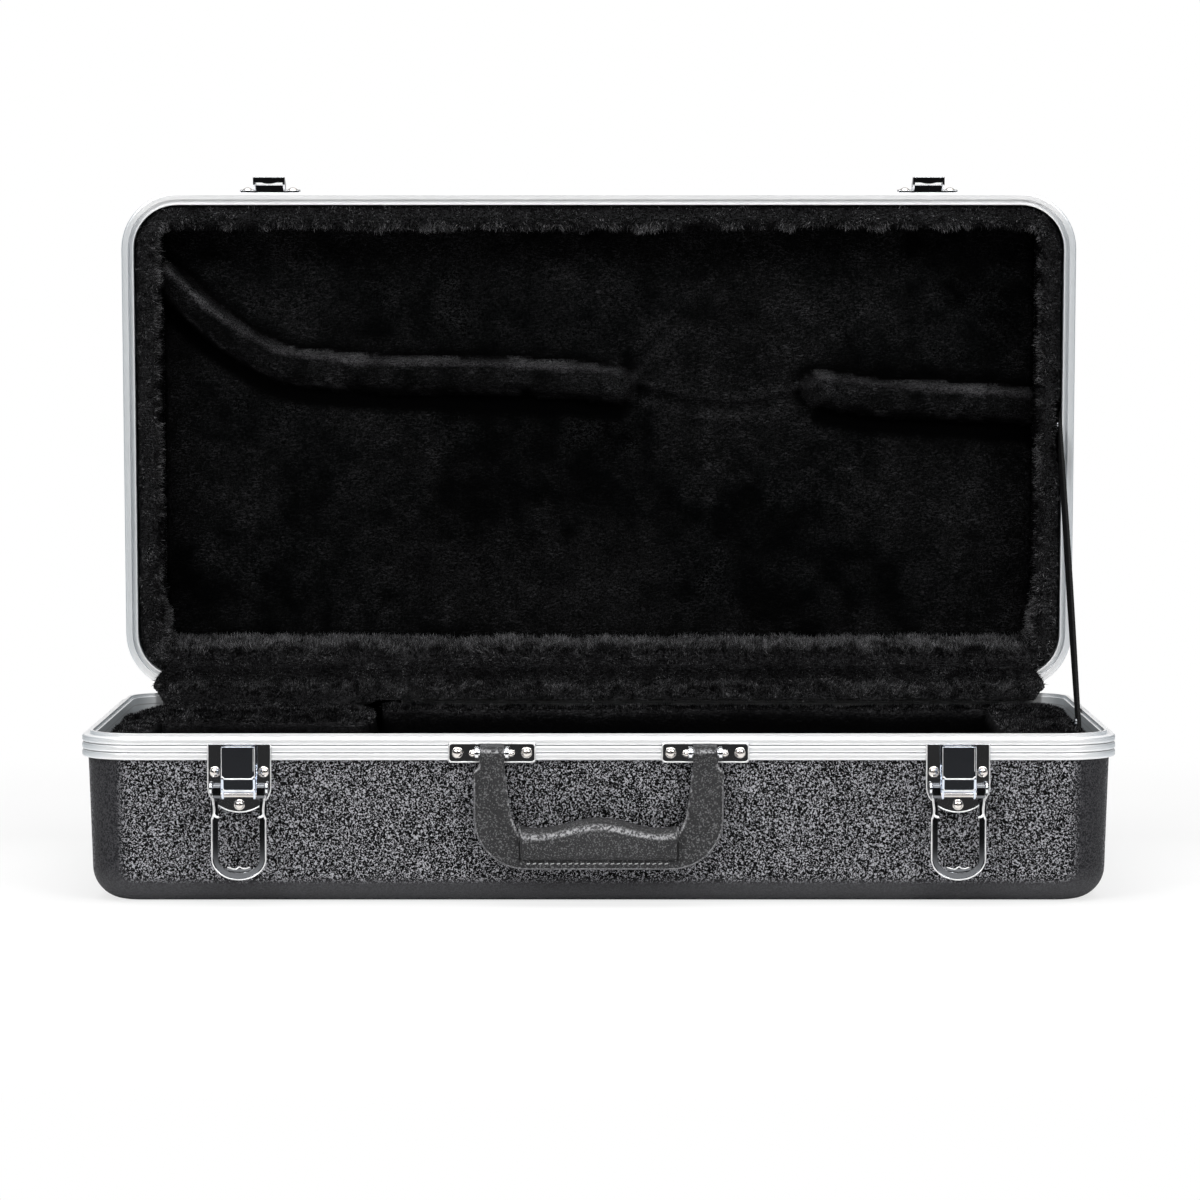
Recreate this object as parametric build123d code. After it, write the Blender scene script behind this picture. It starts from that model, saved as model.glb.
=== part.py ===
from build123d import *
from math import atan2, cos, degrees, hypot, radians, sin, tan
import os

# Trumpet case: a moulded two-part shell with aluminium rim extrusions, plush lining, two draw
# latches, a drop handle and a stay strap. Millimetres, +Z up, the front towards -Y. The origin
# is the middle of the base's flat bottom. The lid stands open, held by its stay strap.

# ---- driving dimensions ----
case_width = 558.0  # over the rim extrusions, along X
case_depth = 293.0  # over the rim extrusions, along Y
base_height = 89.3  # flat bottom to the parting plane
lid_height = 60.0  # parting plane to the flat top of the closed lid
open_angle = 85.4  # from closed to the taut stay strap

# shells
shell_wall = 2.5
shell_draft = 2.0  # degrees
shell_edge_round = 18.0  # between the sides and the flat bottom or top

# rim extrusions
corner_radius = 33.0  # outermost bead, in plan
rim_height = 12.0
rim_width = 7.0
rim_proud = 3.3  # outermost bead past the shell's face
rim_roof = 4.2  # solid stock between the parting plane and the shell's edge
bead_count = 3
bead_round = 1.3
tongue_inset = 4.3
tongue_width = 1.5
tongue_height = 2.0
tongue_clearance = 0.45
seat_gap = 0.05  # between pieces fixed to each other
running_gap = 0.4  # between pieces that move past each other
parting_gap = 0.15  # between the two rims when closed

# rivets
rivet_radius = 1.5
rivet_head_radius = 3.0
rivet_dome = 1.6
rivet_end = 0.7  # shank past the sheet it holds

# hinges
hinge_end_distance = 129.0  # hinge's middle from the end of the case
hinge_length = 46.0
hinge_leaf = 1.2
hinge_leaf_height = 11.0
knuckle_radius = 3.0
knuckle_count = 5
hinge_pin_radius = 1.5
hinge_pin_play = 0.05
hinge_rivet_spacing = 32.0
hinge_rivet_drop = 6.4

# latches
latch_end_distance = 87.0  # latch's middle from the end of the case
latch_plate_width = 34.4
latch_plate_height = 36.7
latch_plate_drop = 3.2  # top edge below the parting plane
latch_plate_arch = 14.1  # height of its rounded lower end
latch_sheet = 1.2
latch_skirt = 0.7  # of the plate past the shell's face
latch_rivet_spacing = 25.8
latch_rivet_down = 14.8  # below the plate's top edge
latch_rivet_up = 4.3  # above the plate's lower end
latch_ear_inset = 1.7
latch_pivot_drop = 26.5
latch_pivot_out = 5.5  # past the rim's outermost bead
latch_crank = 3.5
latch_pivot_radius = 1.15
latch_crank_pin_radius = 1.2
latch_ear_radius = 3.2
bail_width = 29.6
bail_arm_inner = 9.5
bail_arm_end = 4.5  # arms below the crank pin
bail_reach = 49.2  # pivot to the bottom of the loop
bail_band = 3.8
bail_arch = 11.8
bail_sheet = 1.4
bail_rim = 1.0
bail_rim_depth = 3.0
boss_radius = 2.2
hook_width = 18.2
hook_lip_width = 14.8
hook_top_drop = 3.9
hook_face_out = 11.1
hook_face_low = 21.3  # below the parting plane
hook_step_out = 9.0  # face of the lower part, set back under the upper one
hook_lip_in = 4.2
hook_lip_turn = 1.3
keeper_flange_width = 35.0
keeper_flange_height = 9.0
keeper_flange_rise = 1.5  # above the parting plane
keeper_flange_round = 1.5
keeper_rivet_spacing = 26.4
keeper_rivet_rise = 6.6
keeper_root = 3.2
keeper_leg_foot = 5.0
keeper_loop_width = 18.4
keeper_loop_out = 9.6
keeper_bar_depth = 3.2
keeper_bar_thick = 1.7
keeper_bow = 0.7

# handle
handle_spacing = 114.0  # between the two pivots' centres
handle_axis_drop = 7.7
handle_axis_out = 5.8
handle_rod_radius = 1.5
handle_rod_play = 0.15
handle_barrel_radius = 4.3
handle_arm_top = 13.3
handle_half_width = 66.8
handle_reach = 62.2
handle_corner = 28.0
handle_strap_thick = 5.0
strap_neck_gap = 1.0  # under the bracket
strap_shoulder = 3.0  # height over which each arm widens
strap_arm_inner = ((9.0, 25.0), (10.4, 34.0))  # inner edge: from the arm's middle, and down
strap_bar_height = 18.0  # the strap's lower bar, inside the grip
grip_half_length = 42.0
grip_thick = 15.0
grip_low = 4.8  # above the strap's lower edge
grip_end_rise = 23.4
grip_dip = 1.0
grip_crest = 4.4
grip_round = 6.0
bracket_length = 47.0
bracket_height = 10.8
bracket_sheet = 1.2
bracket_cheek = 1.9
bracket_corner = 1.6
bracket_eye_radius = 3.0
handle_rod_end = 0.3
bracket_rivet_spacing = 37.0

# lining
lining_gap = 0.3
floor_pad_thick = 7.5
bolster_depth = 40.0
bolster_drop = 0.5
valve_notch_start = 292.7  # from the lining's left end
valve_notch_length = 102.0
valve_rest_height = 38.0
left_pad_thick = 21.7
right_block_thick = 46.7
right_block_drop = 3.3
mouthpiece_block_length = 142.7
mouthpiece_block_depth = 77.2
mouthpiece_block_drop = 5.3
mouthpiece_hole_in = (43.7, 29.2)  # from the lining's left end and back
mouthpiece_hole_radius = 13.0
mouthpiece_hole_depth = 55.0
back_pad_thick = 13.2
back_pad_drop = 3.3
divider_in = 99.2  # its front from the lining's back
divider_thick = 12.0
divider_drop = 15.3
pad_round = 5.0
lid_lip_width = 13.0
lid_back_lip_width = 15.0
lid_lip_round = 5.0
lid_inner_corner = 9.0
lid_lip_drop = 0.8
lid_ceiling = 45.0  # parting plane to the ceiling pad's face
roll_width = 20.0
roll_height = 15.0
roll_round = 7.0
# Points of each roll: inwards from the end wall pad, and down from the front wall pad.
roll_left_points = ((2.4, 35), (28.4, 59), (50.4, 74), (78.4, 86), (138.4, 90), (238.4, 93), (270.4, 96.5))
roll_right_points = ((122.4, 99), (88.4, 104.5), (53.4, 105.5), (2.4, 109.5))

# stay strap and hinge flap
stay_width = 14.0
stay_thick = 1.8
stay_base_reach = 135.8  # from the hinge axis, along the base
stay_lid_reach = 158.0  # from the hinge axis, along the lid
stay_drop = 6.6  # anchors from the parting plane
stay_washer_radius = 4.5
stay_washer_thick = 1.0
stay_notch_reach = 22.4
stay_notch_room = 3.0
flap_thick = 2.0
flap_overlap = 16.5  # its edge on the back pad, in from the outermost bead
flap_bend_in = 7.0
flap_bend_rise = 1.6  # over the rim's tongue
flap_foot_in = 3.4  # from the hinge axis
flap_foot_rise = 7.5
flap_head_in = 1.6
flap_head_rise = 18.5
flap_bend = 5.0
flap_end_turn = 40.0  # degrees that each end turns with the case's corner

# ---- derived places ----
front_y = -case_depth / 2
back_y = case_depth / 2
hinge_y = back_y + knuckle_radius + 0.3
stay_base_y = hinge_y - stay_base_reach
hinge_x = case_width / 2 - hinge_end_distance
hinge_centres = (-hinge_x, hinge_x)
latch_x = case_width / 2 - latch_end_distance
latch_centres = (-latch_x, latch_x)
hinge_axis = Axis((0, hinge_y, base_height), (1, 0, 0))
latch_pivot_z = base_height - latch_pivot_drop
latch_pin_z = latch_pivot_z - latch_crank
handle_axis_z = base_height - handle_axis_drop
handle_bottom_z = handle_axis_z - handle_reach
flap_half_length = case_width / 2 - corner_radius
latch_ear_x = latch_plate_width / 2 - latch_ear_inset  # outer face of the ears that carry the bail
bail_arm_outer = latch_ear_x - latch_sheet - running_gap
lining_inset = rim_width + lining_gap
lining_half_x = case_width / 2 - lining_inset
lining_half_y = case_depth / 2 - lining_inset
valve_notch = (
    -lining_half_x + valve_notch_start,
    -lining_half_x + valve_notch_start + valve_notch_length,
)
floor_top = shell_wall + seat_gap + floor_pad_thick
block_floor = floor_top + seat_gap


def front(out):
    """Drawing plane parallel to the front face, `out` past the rim: x is X, y is Z."""
    return Plane(origin=(0, front_y - out, 0), x_dir=(1, 0, 0), z_dir=(0, -1, 0))


def side(x):
    """Drawing plane across the front: x is the distance out past the rim, y is Z."""
    return Plane(origin=(x, front_y, 0), x_dir=(0, -1, 0), z_dir=(-1, 0, 0))


def across(x):
    """Drawing plane across the case: x is Y, y is Z."""
    return Plane(origin=(x, 0, 0), x_dir=(0, 1, 0), z_dir=(1, 0, 0))


def slab(sketch, out_low, out_high):
    """Sketch on the front drawing plane, thickened between two distances past the rim."""
    return extrude(front((out_low + out_high) / 2) * sketch, amount=(out_high - out_low) / 2, both=True)


def slice_x(sketch, x_low, x_high):
    """Sketch on the side drawing plane, thickened between two places along X."""
    return extrude(side((x_low + x_high) / 2) * sketch, amount=(x_high - x_low) / 2, both=True)


def rod(centre, length, radius):
    """Cylinder along X about `centre`."""
    return Pos(*centre) * Rot(0, 90, 0) * Cylinder(radius, length)


def block(x_low, x_high, y_low, y_high, z_low, z_high):
    size = (x_high - x_low, y_high - y_low, z_high - z_low)
    middle = ((x_low + x_high) / 2, (y_low + y_high) / 2, (z_low + z_high) / 2)
    return Pos(*middle) * Box(*size)


def plan(inset):
    """Outline of the case in plan, `inset` inside the outermost bead."""
    return RectangleRounded(
        case_width - 2 * inset, case_depth - 2 * inset, corner_radius - inset
    )


def prism(inset, z_low, z_high):
    return extrude(Pos(0, 0, z_low) * plan(inset), amount=z_high - z_low)


def ring(outer_inset, inner_inset, z_low, z_high):
    """Wall around the case; z is the distance from the parting plane."""
    return prism(outer_inset, z_low, z_high) - prism(inner_inset, z_low - 1, z_high + 1)


def tub(inset, top, depth, edge_round):
    """Drafted solid under the parting plane, straight inside the rim's height."""
    narrowing = inset + tan(radians(shell_draft)) * (depth - rim_height)
    lower = loft([Pos(0, 0, -rim_height) * plan(inset), Pos(0, 0, -depth) * plan(narrowing)])
    lower = fillet(lower.edges().group_by(Axis.Z)[0], edge_round)
    return prism(inset, -rim_height, -top) + lower


def shell(height):
    """Moulded tray with its mouth up at the parting plane."""
    outer = tub(rim_proud, rim_roof + seat_gap, height, shell_edge_round)
    inner_inset = rim_proud + shell_wall
    inner = tub(inner_inset, -1, height - shell_wall, shell_edge_round - shell_wall)
    return outer - inner


def rim():
    """Beaded extrusion round the mouth, under the parting plane, with a slot for the shell."""
    bead_height = rim_height / bead_count
    ring_body = Part()
    for index in range(bead_count):
        bead = prism(0, -(index + 1) * bead_height, -index * bead_height)
        levels = bead.edges().group_by(Axis.Z)
        ring_body += fillet(levels[0] + levels[-1], bead_round)
    ring_body -= prism(rim_width, -rim_height - 1, 1)
    slot_outer = rim_proud - seat_gap
    slot_inner = rim_proud + shell_wall + seat_gap
    return ring_body - ring(slot_outer, slot_inner, -rim_height - 1, -rim_roof)


def rivet(point, direction, grip):
    """Domed rivet: its head sits on `point` facing `direction`, its shank runs back by `grip`."""
    shank = Pos(0, 0, -grip / 2) * Cylinder(rivet_radius, grip)
    sphere_radius = (rivet_head_radius**2 + rivet_dome**2) / (2 * rivet_dome)
    dome = Pos(0, 0, rivet_dome - sphere_radius) * Sphere(sphere_radius)
    dome &= Pos(0, 0, rivet_dome) * Box(20, 20, 2 * rivet_dome)
    return Plane(origin=point, z_dir=direction) * (shank + dome)


def rivet_hole(point, direction, grip):
    hole = Pos(0, 0, -grip / 2) * Cylinder(rivet_radius + 2 * seat_gap, grip + 2)
    return Plane(origin=point, z_dir=direction) * hole


def lid_frame(part):
    """Turns a piece drawn under the parting plane into one above it, for the closed lid."""
    return Pos(0, 0, base_height + parting_gap) * mirror(part, about=Plane.XY)


def opened(part):
    return part.rotate(hinge_axis, -open_angle)


# ---- rivet places ----
rim_face = seat_gap  # plates lie this far off the outermost bead
plate_face = seat_gap + latch_sheet
latch_rivets = []
latch_rivet_high_z = base_height - latch_plate_drop - latch_rivet_down
latch_rivet_low_z = base_height - latch_plate_drop - latch_plate_height + latch_rivet_up
latch_rivet_grip = plate_face + rim_proud + shell_wall + rivet_end
for centre in latch_centres:
    for dx, z in (
        (-latch_rivet_spacing / 2, latch_rivet_high_z),
        (latch_rivet_spacing / 2, latch_rivet_high_z),
        (0.0, latch_rivet_low_z),
    ):
        place = (centre + dx, front_y - plate_face, z)
        latch_rivets.append((place, (0, -1, 0), latch_rivet_grip))
bracket_rivets = []
for centre in (-handle_spacing / 2, handle_spacing / 2):
    for dx in (-bracket_rivet_spacing / 2, bracket_rivet_spacing / 2):
        place = (centre + dx, front_y - rim_face - bracket_sheet, handle_axis_z)
        bracket_rivets.append((place, (0, -1, 0), bracket_sheet + rim_width))
hinge_rivets_low = []
hinge_rivets_high = []
for centre in hinge_centres:
    for dx in (-hinge_rivet_spacing / 2, hinge_rivet_spacing / 2):
        for rivets, z in (
            (hinge_rivets_low, base_height - hinge_rivet_drop),
            (hinge_rivets_high, base_height + hinge_rivet_drop),
        ):
            place = (centre + dx, back_y + rim_face + hinge_leaf, z)
            rivets.append((place, (0, 1, 0), hinge_leaf + rim_width))
keeper_rivets = []
for centre in latch_centres:
    for dx in (-keeper_rivet_spacing / 2, keeper_rivet_spacing / 2):
        place = (centre + dx, front_y - plate_face, base_height + keeper_rivet_rise)
        keeper_rivets.append((place, (0, -1, 0), latch_sheet + rim_width))
stay_x = case_width / 2 - rim_width - seat_gap - stay_thick / 2
stay_head_x = stay_x - stay_thick / 2 - seat_gap - stay_washer_thick
stay_grip = stay_washer_thick + stay_thick + rim_width - 1
stay_base_rivet = ((stay_head_x, stay_base_y, base_height - stay_drop), (-1, 0, 0), stay_grip)
stay_lid_closed = (stay_head_x, hinge_y - stay_lid_reach, base_height + stay_drop)
stay_lid_rivet = (stay_lid_closed, (-1, 0, 0), stay_grip)


def drilled(part, *rivet_lists):
    for rivets in rivet_lists:
        for place in rivets:
            part -= rivet_hole(*place)
    return part


def rivet_group(rivets):
    return Compound(children=[rivet(*place) for place in rivets])


# ---- shells and rims ----
def make_base_shell():
    body = Pos(0, 0, base_height) * shell(base_height)
    return drilled(body, latch_rivets, bracket_rivets, hinge_rivets_low, [stay_base_rivet])


def make_base_rim():
    tongue = ring(tongue_inset, tongue_inset + tongue_width, -0.5, tongue_height)
    body = Pos(0, 0, base_height) * (rim() + tongue)
    return drilled(body, bracket_rivets, hinge_rivets_low, [stay_base_rivet])


def make_lid_shell():
    body = lid_frame(shell(lid_height))
    return opened(drilled(body, keeper_rivets, hinge_rivets_high, [stay_lid_rivet]))


def make_lid_rim():
    groove_outer = tongue_inset - tongue_clearance
    groove_inner = tongue_inset + tongue_width + tongue_clearance
    groove = ring(groove_outer, groove_inner, -tongue_height - tongue_clearance, 1)
    body = lid_frame(rim() - groove)
    return opened(drilled(body, keeper_rivets, hinge_rivets_high, [stay_lid_rivet]))


# ---- base lining ----
lining_space = Pos(0, 0, base_height) * tub(
    lining_inset, 0, base_height - shell_wall - seat_gap, shell_edge_round - shell_wall
)


def base_pad(x_low, x_high, y_low, y_high, z_low, z_high):
    """Lining block cut to the inside of the base, its top edges rounded."""
    pad = block(x_low, x_high, y_low, y_high, z_low, z_high) & lining_space
    return fillet(pad.edges().group_by(Axis.Z)[-1], pad_round)


wall_x = lining_half_x + 5
wall_y = lining_half_y + 5
bolster_back = -lining_half_y + bolster_depth
bolster_top = base_height - bolster_drop
well_left = -lining_half_x + left_pad_thick
well_right = lining_half_x - right_block_thick
block_x = -lining_half_x + mouthpiece_block_length
block_y = lining_half_y - mouthpiece_block_depth
divider_front = lining_half_y - divider_in
back_pad_front = lining_half_y - back_pad_thick


def make_floor_pad():
    pad = block(-wall_x, wall_x, -wall_y, wall_y, 0, floor_top)
    return pad & lining_space


def make_bolster_left():
    return base_pad(-wall_x, valve_notch[0], -wall_y, bolster_back, block_floor, bolster_top)


def make_bolster_right():
    return base_pad(valve_notch[1], wall_x, -wall_y, bolster_back, block_floor, bolster_top)


def make_valve_rest():
    x_low = valve_notch[0] + lining_gap
    x_high = valve_notch[1] - lining_gap
    top = block_floor + valve_rest_height
    return base_pad(x_low, x_high, -wall_y, bolster_back, block_floor, top)


def make_left_pad():
    y_low = bolster_back + lining_gap
    top = base_height - back_pad_drop
    return base_pad(-wall_x, well_left, y_low, block_y - lining_gap, block_floor, top)


def make_right_block():
    """End block, notched at the wall where the stay strap comes down."""
    y_low = bolster_back + lining_gap
    y_high = back_pad_front - lining_gap
    top = base_height - right_block_drop
    pad = base_pad(well_right, wall_x, y_low, y_high, block_floor, top)
    notch_x = stay_head_x - rivet_dome - stay_notch_room
    notch_z = base_height - stay_drop - stay_width
    reach = stay_notch_reach
    return pad - block(notch_x, wall_x, stay_base_y - reach, stay_base_y + reach, notch_z, 100)


def make_mouthpiece_block():
    top = base_height - mouthpiece_block_drop
    pad = base_pad(-wall_x, block_x, block_y, wall_y, block_floor, top)
    hole_x = -lining_half_x + mouthpiece_hole_in[0]
    hole_y = lining_half_y - mouthpiece_hole_in[1]
    hole = Cylinder(mouthpiece_hole_radius, 2 * mouthpiece_hole_depth)
    return pad - Pos(hole_x, hole_y, top) * hole


def make_back_pad():
    x_low = block_x + lining_gap
    top = base_height - back_pad_drop
    return base_pad(x_low, wall_x, back_pad_front, wall_y, block_floor, top)


def make_divider():
    x_low = block_x + lining_gap
    x_high = well_right - lining_gap
    y_high = divider_front + divider_thick
    top = base_height - divider_drop
    return base_pad(x_low, x_high, divider_front, y_high, block_floor, top)


# ---- lid lining, drawn upside down under the parting plane ----
lid_space = tub(lining_inset, 0, lid_height - shell_wall - seat_gap, shell_edge_round - shell_wall)


def make_lid_wall_pad():
    """Padded ring inside the lid's walls with a rounded lip, thicker along the hinges."""
    inner_width = case_width - 2 * (lining_inset + lid_lip_width)
    front_edge = -lining_half_y + lid_lip_width
    back_edge = lining_half_y - lid_back_lip_width
    middle = (front_edge + back_edge) / 2
    hole = RectangleRounded(inner_width, back_edge - front_edge, lid_inner_corner)
    hole = Pos(0, middle, 0) * hole
    pad = lid_space & block(-wall_x, wall_x, -wall_y, wall_y, -lid_height, -lid_lip_drop)
    pad -= Pos(0, 0, -lid_height) * extrude(hole, amount=lid_height + 1)
    pad = fillet(pad.edges().group_by(Axis.Z)[-1], lid_lip_round)
    notch_x = stay_head_x - rivet_dome - stay_notch_room
    stay_y = hinge_y - stay_lid_reach
    reach = stay_notch_reach
    notch = block(notch_x, wall_x, stay_y - reach, stay_y + reach, -stay_drop - stay_width, 1)
    return opened(lid_frame(pad - notch))


def make_lid_ceiling_pad():
    half_x = lining_half_x - lid_lip_width - lining_gap
    front_edge = -lining_half_y + lid_lip_width + lining_gap
    back_edge = lining_half_y - lid_back_lip_width - lining_gap
    corner = lid_inner_corner - lining_gap
    deep = lid_height - shell_wall - seat_gap
    outline = RectangleRounded(2 * half_x, back_edge - front_edge, corner)
    outline = Pos(0, (front_edge + back_edge) / 2, -deep) * outline
    panel = extrude(outline, amount=deep - lid_ceiling) & lid_space
    return opened(lid_frame(panel))


def make_roll(points, end):
    """Plush roll on the ceiling, from the wall pad at the left (-1) or right (1) end."""
    half_x = lining_half_x - lid_lip_width - lining_gap
    front_wall = -lining_half_y + lid_lip_width
    route = [(end * (half_x - x), front_wall + y) for x, y in points]
    radii = [roll_width] * (len(route) - 2)
    line = FilletPolyline(*route, radius=radii)
    face = Pos(0, 0, seat_gap - lid_ceiling) * trace(line, roll_width)
    roll = extrude(face, amount=roll_height)
    for x, y in (route[0], route[-1]):
        middle = (x, y, seat_gap - lid_ceiling + roll_height / 2)
        roll += Pos(*middle) * Cylinder(roll_width / 2, roll_height)
    roll &= block(-half_x, half_x, -wall_y, wall_y, -lid_height, 0)
    roll = fillet(roll.edges().group_by(Axis.Z)[-1], roll_round)
    return opened(lid_frame(roll))


# ---- hinges ----
def knuckle_spans():
    pitch = hinge_length / knuckle_count
    starts = [-hinge_length / 2 + index * pitch for index in range(knuckle_count)]
    return [(start, start + pitch) for start in starts]


def hinge_leaf_at(centre, lid_side):
    """One leaf with its knuckles; the base has the outer knuckles, the lid those between."""
    sign = 1 if lid_side else -1
    z_far = base_height + sign * (hinge_leaf_height + 0.5)
    y_low = back_y + rim_face
    low, high = sorted((base_height, z_far))
    half = hinge_length / 2
    leaf = block(centre - half, centre + half, y_low, y_low + hinge_leaf, low, high)
    for index, (x_low, x_high) in enumerate(knuckle_spans()):
        middle = (centre + (x_low + x_high) / 2, hinge_y, base_height)
        own = (index % 2 == 1) == lid_side
        if own:
            leaf += rod(middle, x_high - x_low - running_gap, knuckle_radius)
        else:
            leaf -= rod(middle, x_high - x_low + running_gap, knuckle_radius + running_gap)
    play = hinge_pin_play if lid_side else seat_gap
    leaf -= rod((centre, hinge_y, base_height), hinge_length + 2, hinge_pin_radius + play)
    return leaf


def make_hinge_leaf(centre, lid_side):
    leaf = hinge_leaf_at(centre, lid_side)
    rivets = hinge_rivets_high if lid_side else hinge_rivets_low
    leaf = drilled(leaf, rivets)
    return opened(leaf) if lid_side else leaf


def make_hinge_pins():
    pins = [
        rod((centre, hinge_y, base_height), hinge_length, hinge_pin_radius)
        for centre in hinge_centres
    ]
    return Compound(children=pins)


# ---- latches ----
def latch_outline(inset):
    """Shield outline of the latch plate, straight above and rounded below."""
    top = base_height - latch_plate_drop - inset
    shoulder = base_height - latch_plate_drop - latch_plate_height + latch_plate_arch
    half = latch_plate_width / 2 - inset
    upper = Pos(0, (top + shoulder) / 2) * Rectangle(2 * half, top - shoulder)
    lower = Pos(0, shoulder) * Ellipse(half, latch_plate_arch - inset)
    return upper + lower


def case_envelope():
    """Outside of the base, grown by the seat gap, that fitted plates are cut to."""
    sides = tub(rim_proud - seat_gap, 0, base_height, shell_edge_round)
    return Pos(0, 0, base_height) * (sides + prism(-seat_gap, -rim_height - seat_gap, 1))


def make_latch_plate(centre):
    """Pressed tray: flat face over the rim, skirt down to the shell, two ears for the bail."""
    reach = rim_proud + latch_skirt
    tray = slab(latch_outline(0), -reach, plate_face) - case_envelope()
    pocket_top = base_height - rim_height - seat_gap
    below = Pos(0, pocket_top - latch_plate_height) * Rectangle(latch_plate_width, 2 * latch_plate_height)
    pocket = latch_outline(latch_sheet) & below
    tray -= slab(pocket, -reach - 1, seat_gap)
    eye = Pos(latch_pivot_out, latch_pivot_z) * Circle(latch_ear_radius)
    foot = latch_pivot_out - seat_gap
    arm = Pos(seat_gap + foot / 2, latch_pivot_z) * Rectangle(foot, 2 * latch_ear_radius)
    ear = eye + arm - Pos(latch_pivot_out, latch_pivot_z) * Circle(latch_pivot_radius + 0.1)
    tray += slice_x(ear, latch_ear_x - latch_sheet, latch_ear_x)
    tray += slice_x(ear, -latch_ear_x, latch_sheet - latch_ear_x)
    return drilled(Pos(centre, 0, 0) * tray, latch_rivets)


def bail_outline(inset):
    half = bail_width / 2 - inset
    bottom = latch_pivot_z - bail_reach
    shoulder = bottom + bail_arch
    upper = Pos(0, (latch_pivot_z + shoulder) / 2) * Rectangle(2 * half, latch_pivot_z - shoulder)
    return upper + Pos(0, shoulder) * Ellipse(half, bail_arch - inset)


def make_bail(centre):
    """Wire-thin stamped loop with cranked bosses; stubs turn in the plate's ears."""
    loop = bail_outline(0) - bail_outline(bail_band)
    edge = bail_outline(0) - bail_outline(bail_rim)
    half = bail_sheet / 2
    rim_half = bail_rim_depth / 2
    body = slab(loop, latch_pivot_out - half, latch_pivot_out + half)
    body += slab(edge, latch_pivot_out - rim_half, latch_pivot_out + rim_half)
    body -= block(-50, 50, front_y - 20, front_y, latch_pin_z - 3, 200)
    pivot_y = front_y - latch_pivot_out
    middle_z = (latch_pivot_z + latch_pin_z) / 2
    crank = Pos(latch_pivot_out, middle_z) * Rectangle(2 * boss_radius, latch_crank)
    crank += Pos(latch_pivot_out, latch_pivot_z) * Circle(boss_radius)
    crank += Pos(latch_pivot_out, latch_pin_z) * Circle(boss_radius)
    arm_height = latch_crank + bail_arm_end
    arm = Pos(latch_pivot_out, latch_pivot_z - arm_height / 2) * Rectangle(bail_sheet, arm_height)
    for sign in (-1, 1):
        low, high = sorted((sign * bail_arm_inner, sign * bail_arm_outer))
        body += slice_x(crank, low, high)
        low, high = sorted((sign * (bail_arm_outer - bail_sheet), sign * bail_arm_outer))
        body += slice_x(arm, low, high)
        stub_length = latch_sheet + running_gap
        stub_x = sign * (bail_arm_outer + stub_length / 2)
        body += rod((stub_x, pivot_y, latch_pivot_z), stub_length, latch_pivot_radius)
    pin_space = 2 * bail_arm_outer - 1.0
    hole = rod((0, pivot_y, latch_pin_z), pin_space, latch_crank_pin_radius + seat_gap)
    return Pos(centre, 0, 0) * (body - hole)


def make_crank_pin(centre):
    length = 2 * bail_arm_outer - 1.1
    return rod((centre, front_y - latch_pivot_out, latch_pin_z), length, latch_crank_pin_radius)


def make_hook(centre):
    """Draw hook: face plate, inward lip that goes over the keeper's bar, two pin cheeks."""
    top = base_height - hook_top_drop
    low = base_height - hook_face_low
    face_in = hook_face_out - latch_sheet
    step_in = hook_step_out - latch_sheet
    profile = Polygon(
        (face_in, top),
        (hook_face_out, top),
        (hook_face_out, low),
        (hook_step_out, low),
        (hook_step_out, latch_pin_z + 2.9),
        (latch_pivot_out + 2.6, latch_pin_z + 1.6),
        (latch_pivot_out + 1.6, latch_pin_z + 2.2),
        (step_in, latch_pin_z + 3.4),
        (step_in, low + latch_sheet),
        (face_in, low + latch_sheet),
        align=None,
    )
    half = hook_width / 2
    body = slice_x(profile, -half, half)
    lip = Polygon(
        (hook_lip_in, top),
        (hook_face_out, top),
        (hook_face_out, top - latch_sheet),
        (hook_lip_in + 1, top - latch_sheet),
        (hook_lip_in + 1, top - latch_sheet - hook_lip_turn),
        (hook_lip_in, top - latch_sheet - hook_lip_turn),
        align=None,
    )
    body += slice_x(lip, -hook_lip_width / 2, hook_lip_width / 2)
    cheek_top = low + 6
    cheek = Polygon(
        (latch_pivot_out - 2.2, latch_pin_z),
        (latch_pivot_out - 1.5, latch_pin_z - 1.6),
        (latch_pivot_out, latch_pin_z - 2.2),
        (latch_pivot_out + 1.5, latch_pin_z - 1.6),
        (hook_face_out - 0.1, low),
        (hook_face_out - 0.1, cheek_top),
        (face_in - 1.0, cheek_top),
        align=None,
    )
    cheek -= Pos(latch_pivot_out, latch_pin_z) * Circle(latch_crank_pin_radius + 0.1)
    body += slice_x(cheek, half - latch_sheet, half) + slice_x(cheek, -half, latch_sheet - half)
    body -= rod((0, front_y - latch_pivot_out, latch_pin_z), 40, latch_crank_pin_radius + 0.1)
    return Pos(centre, 0, 0) * body


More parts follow.
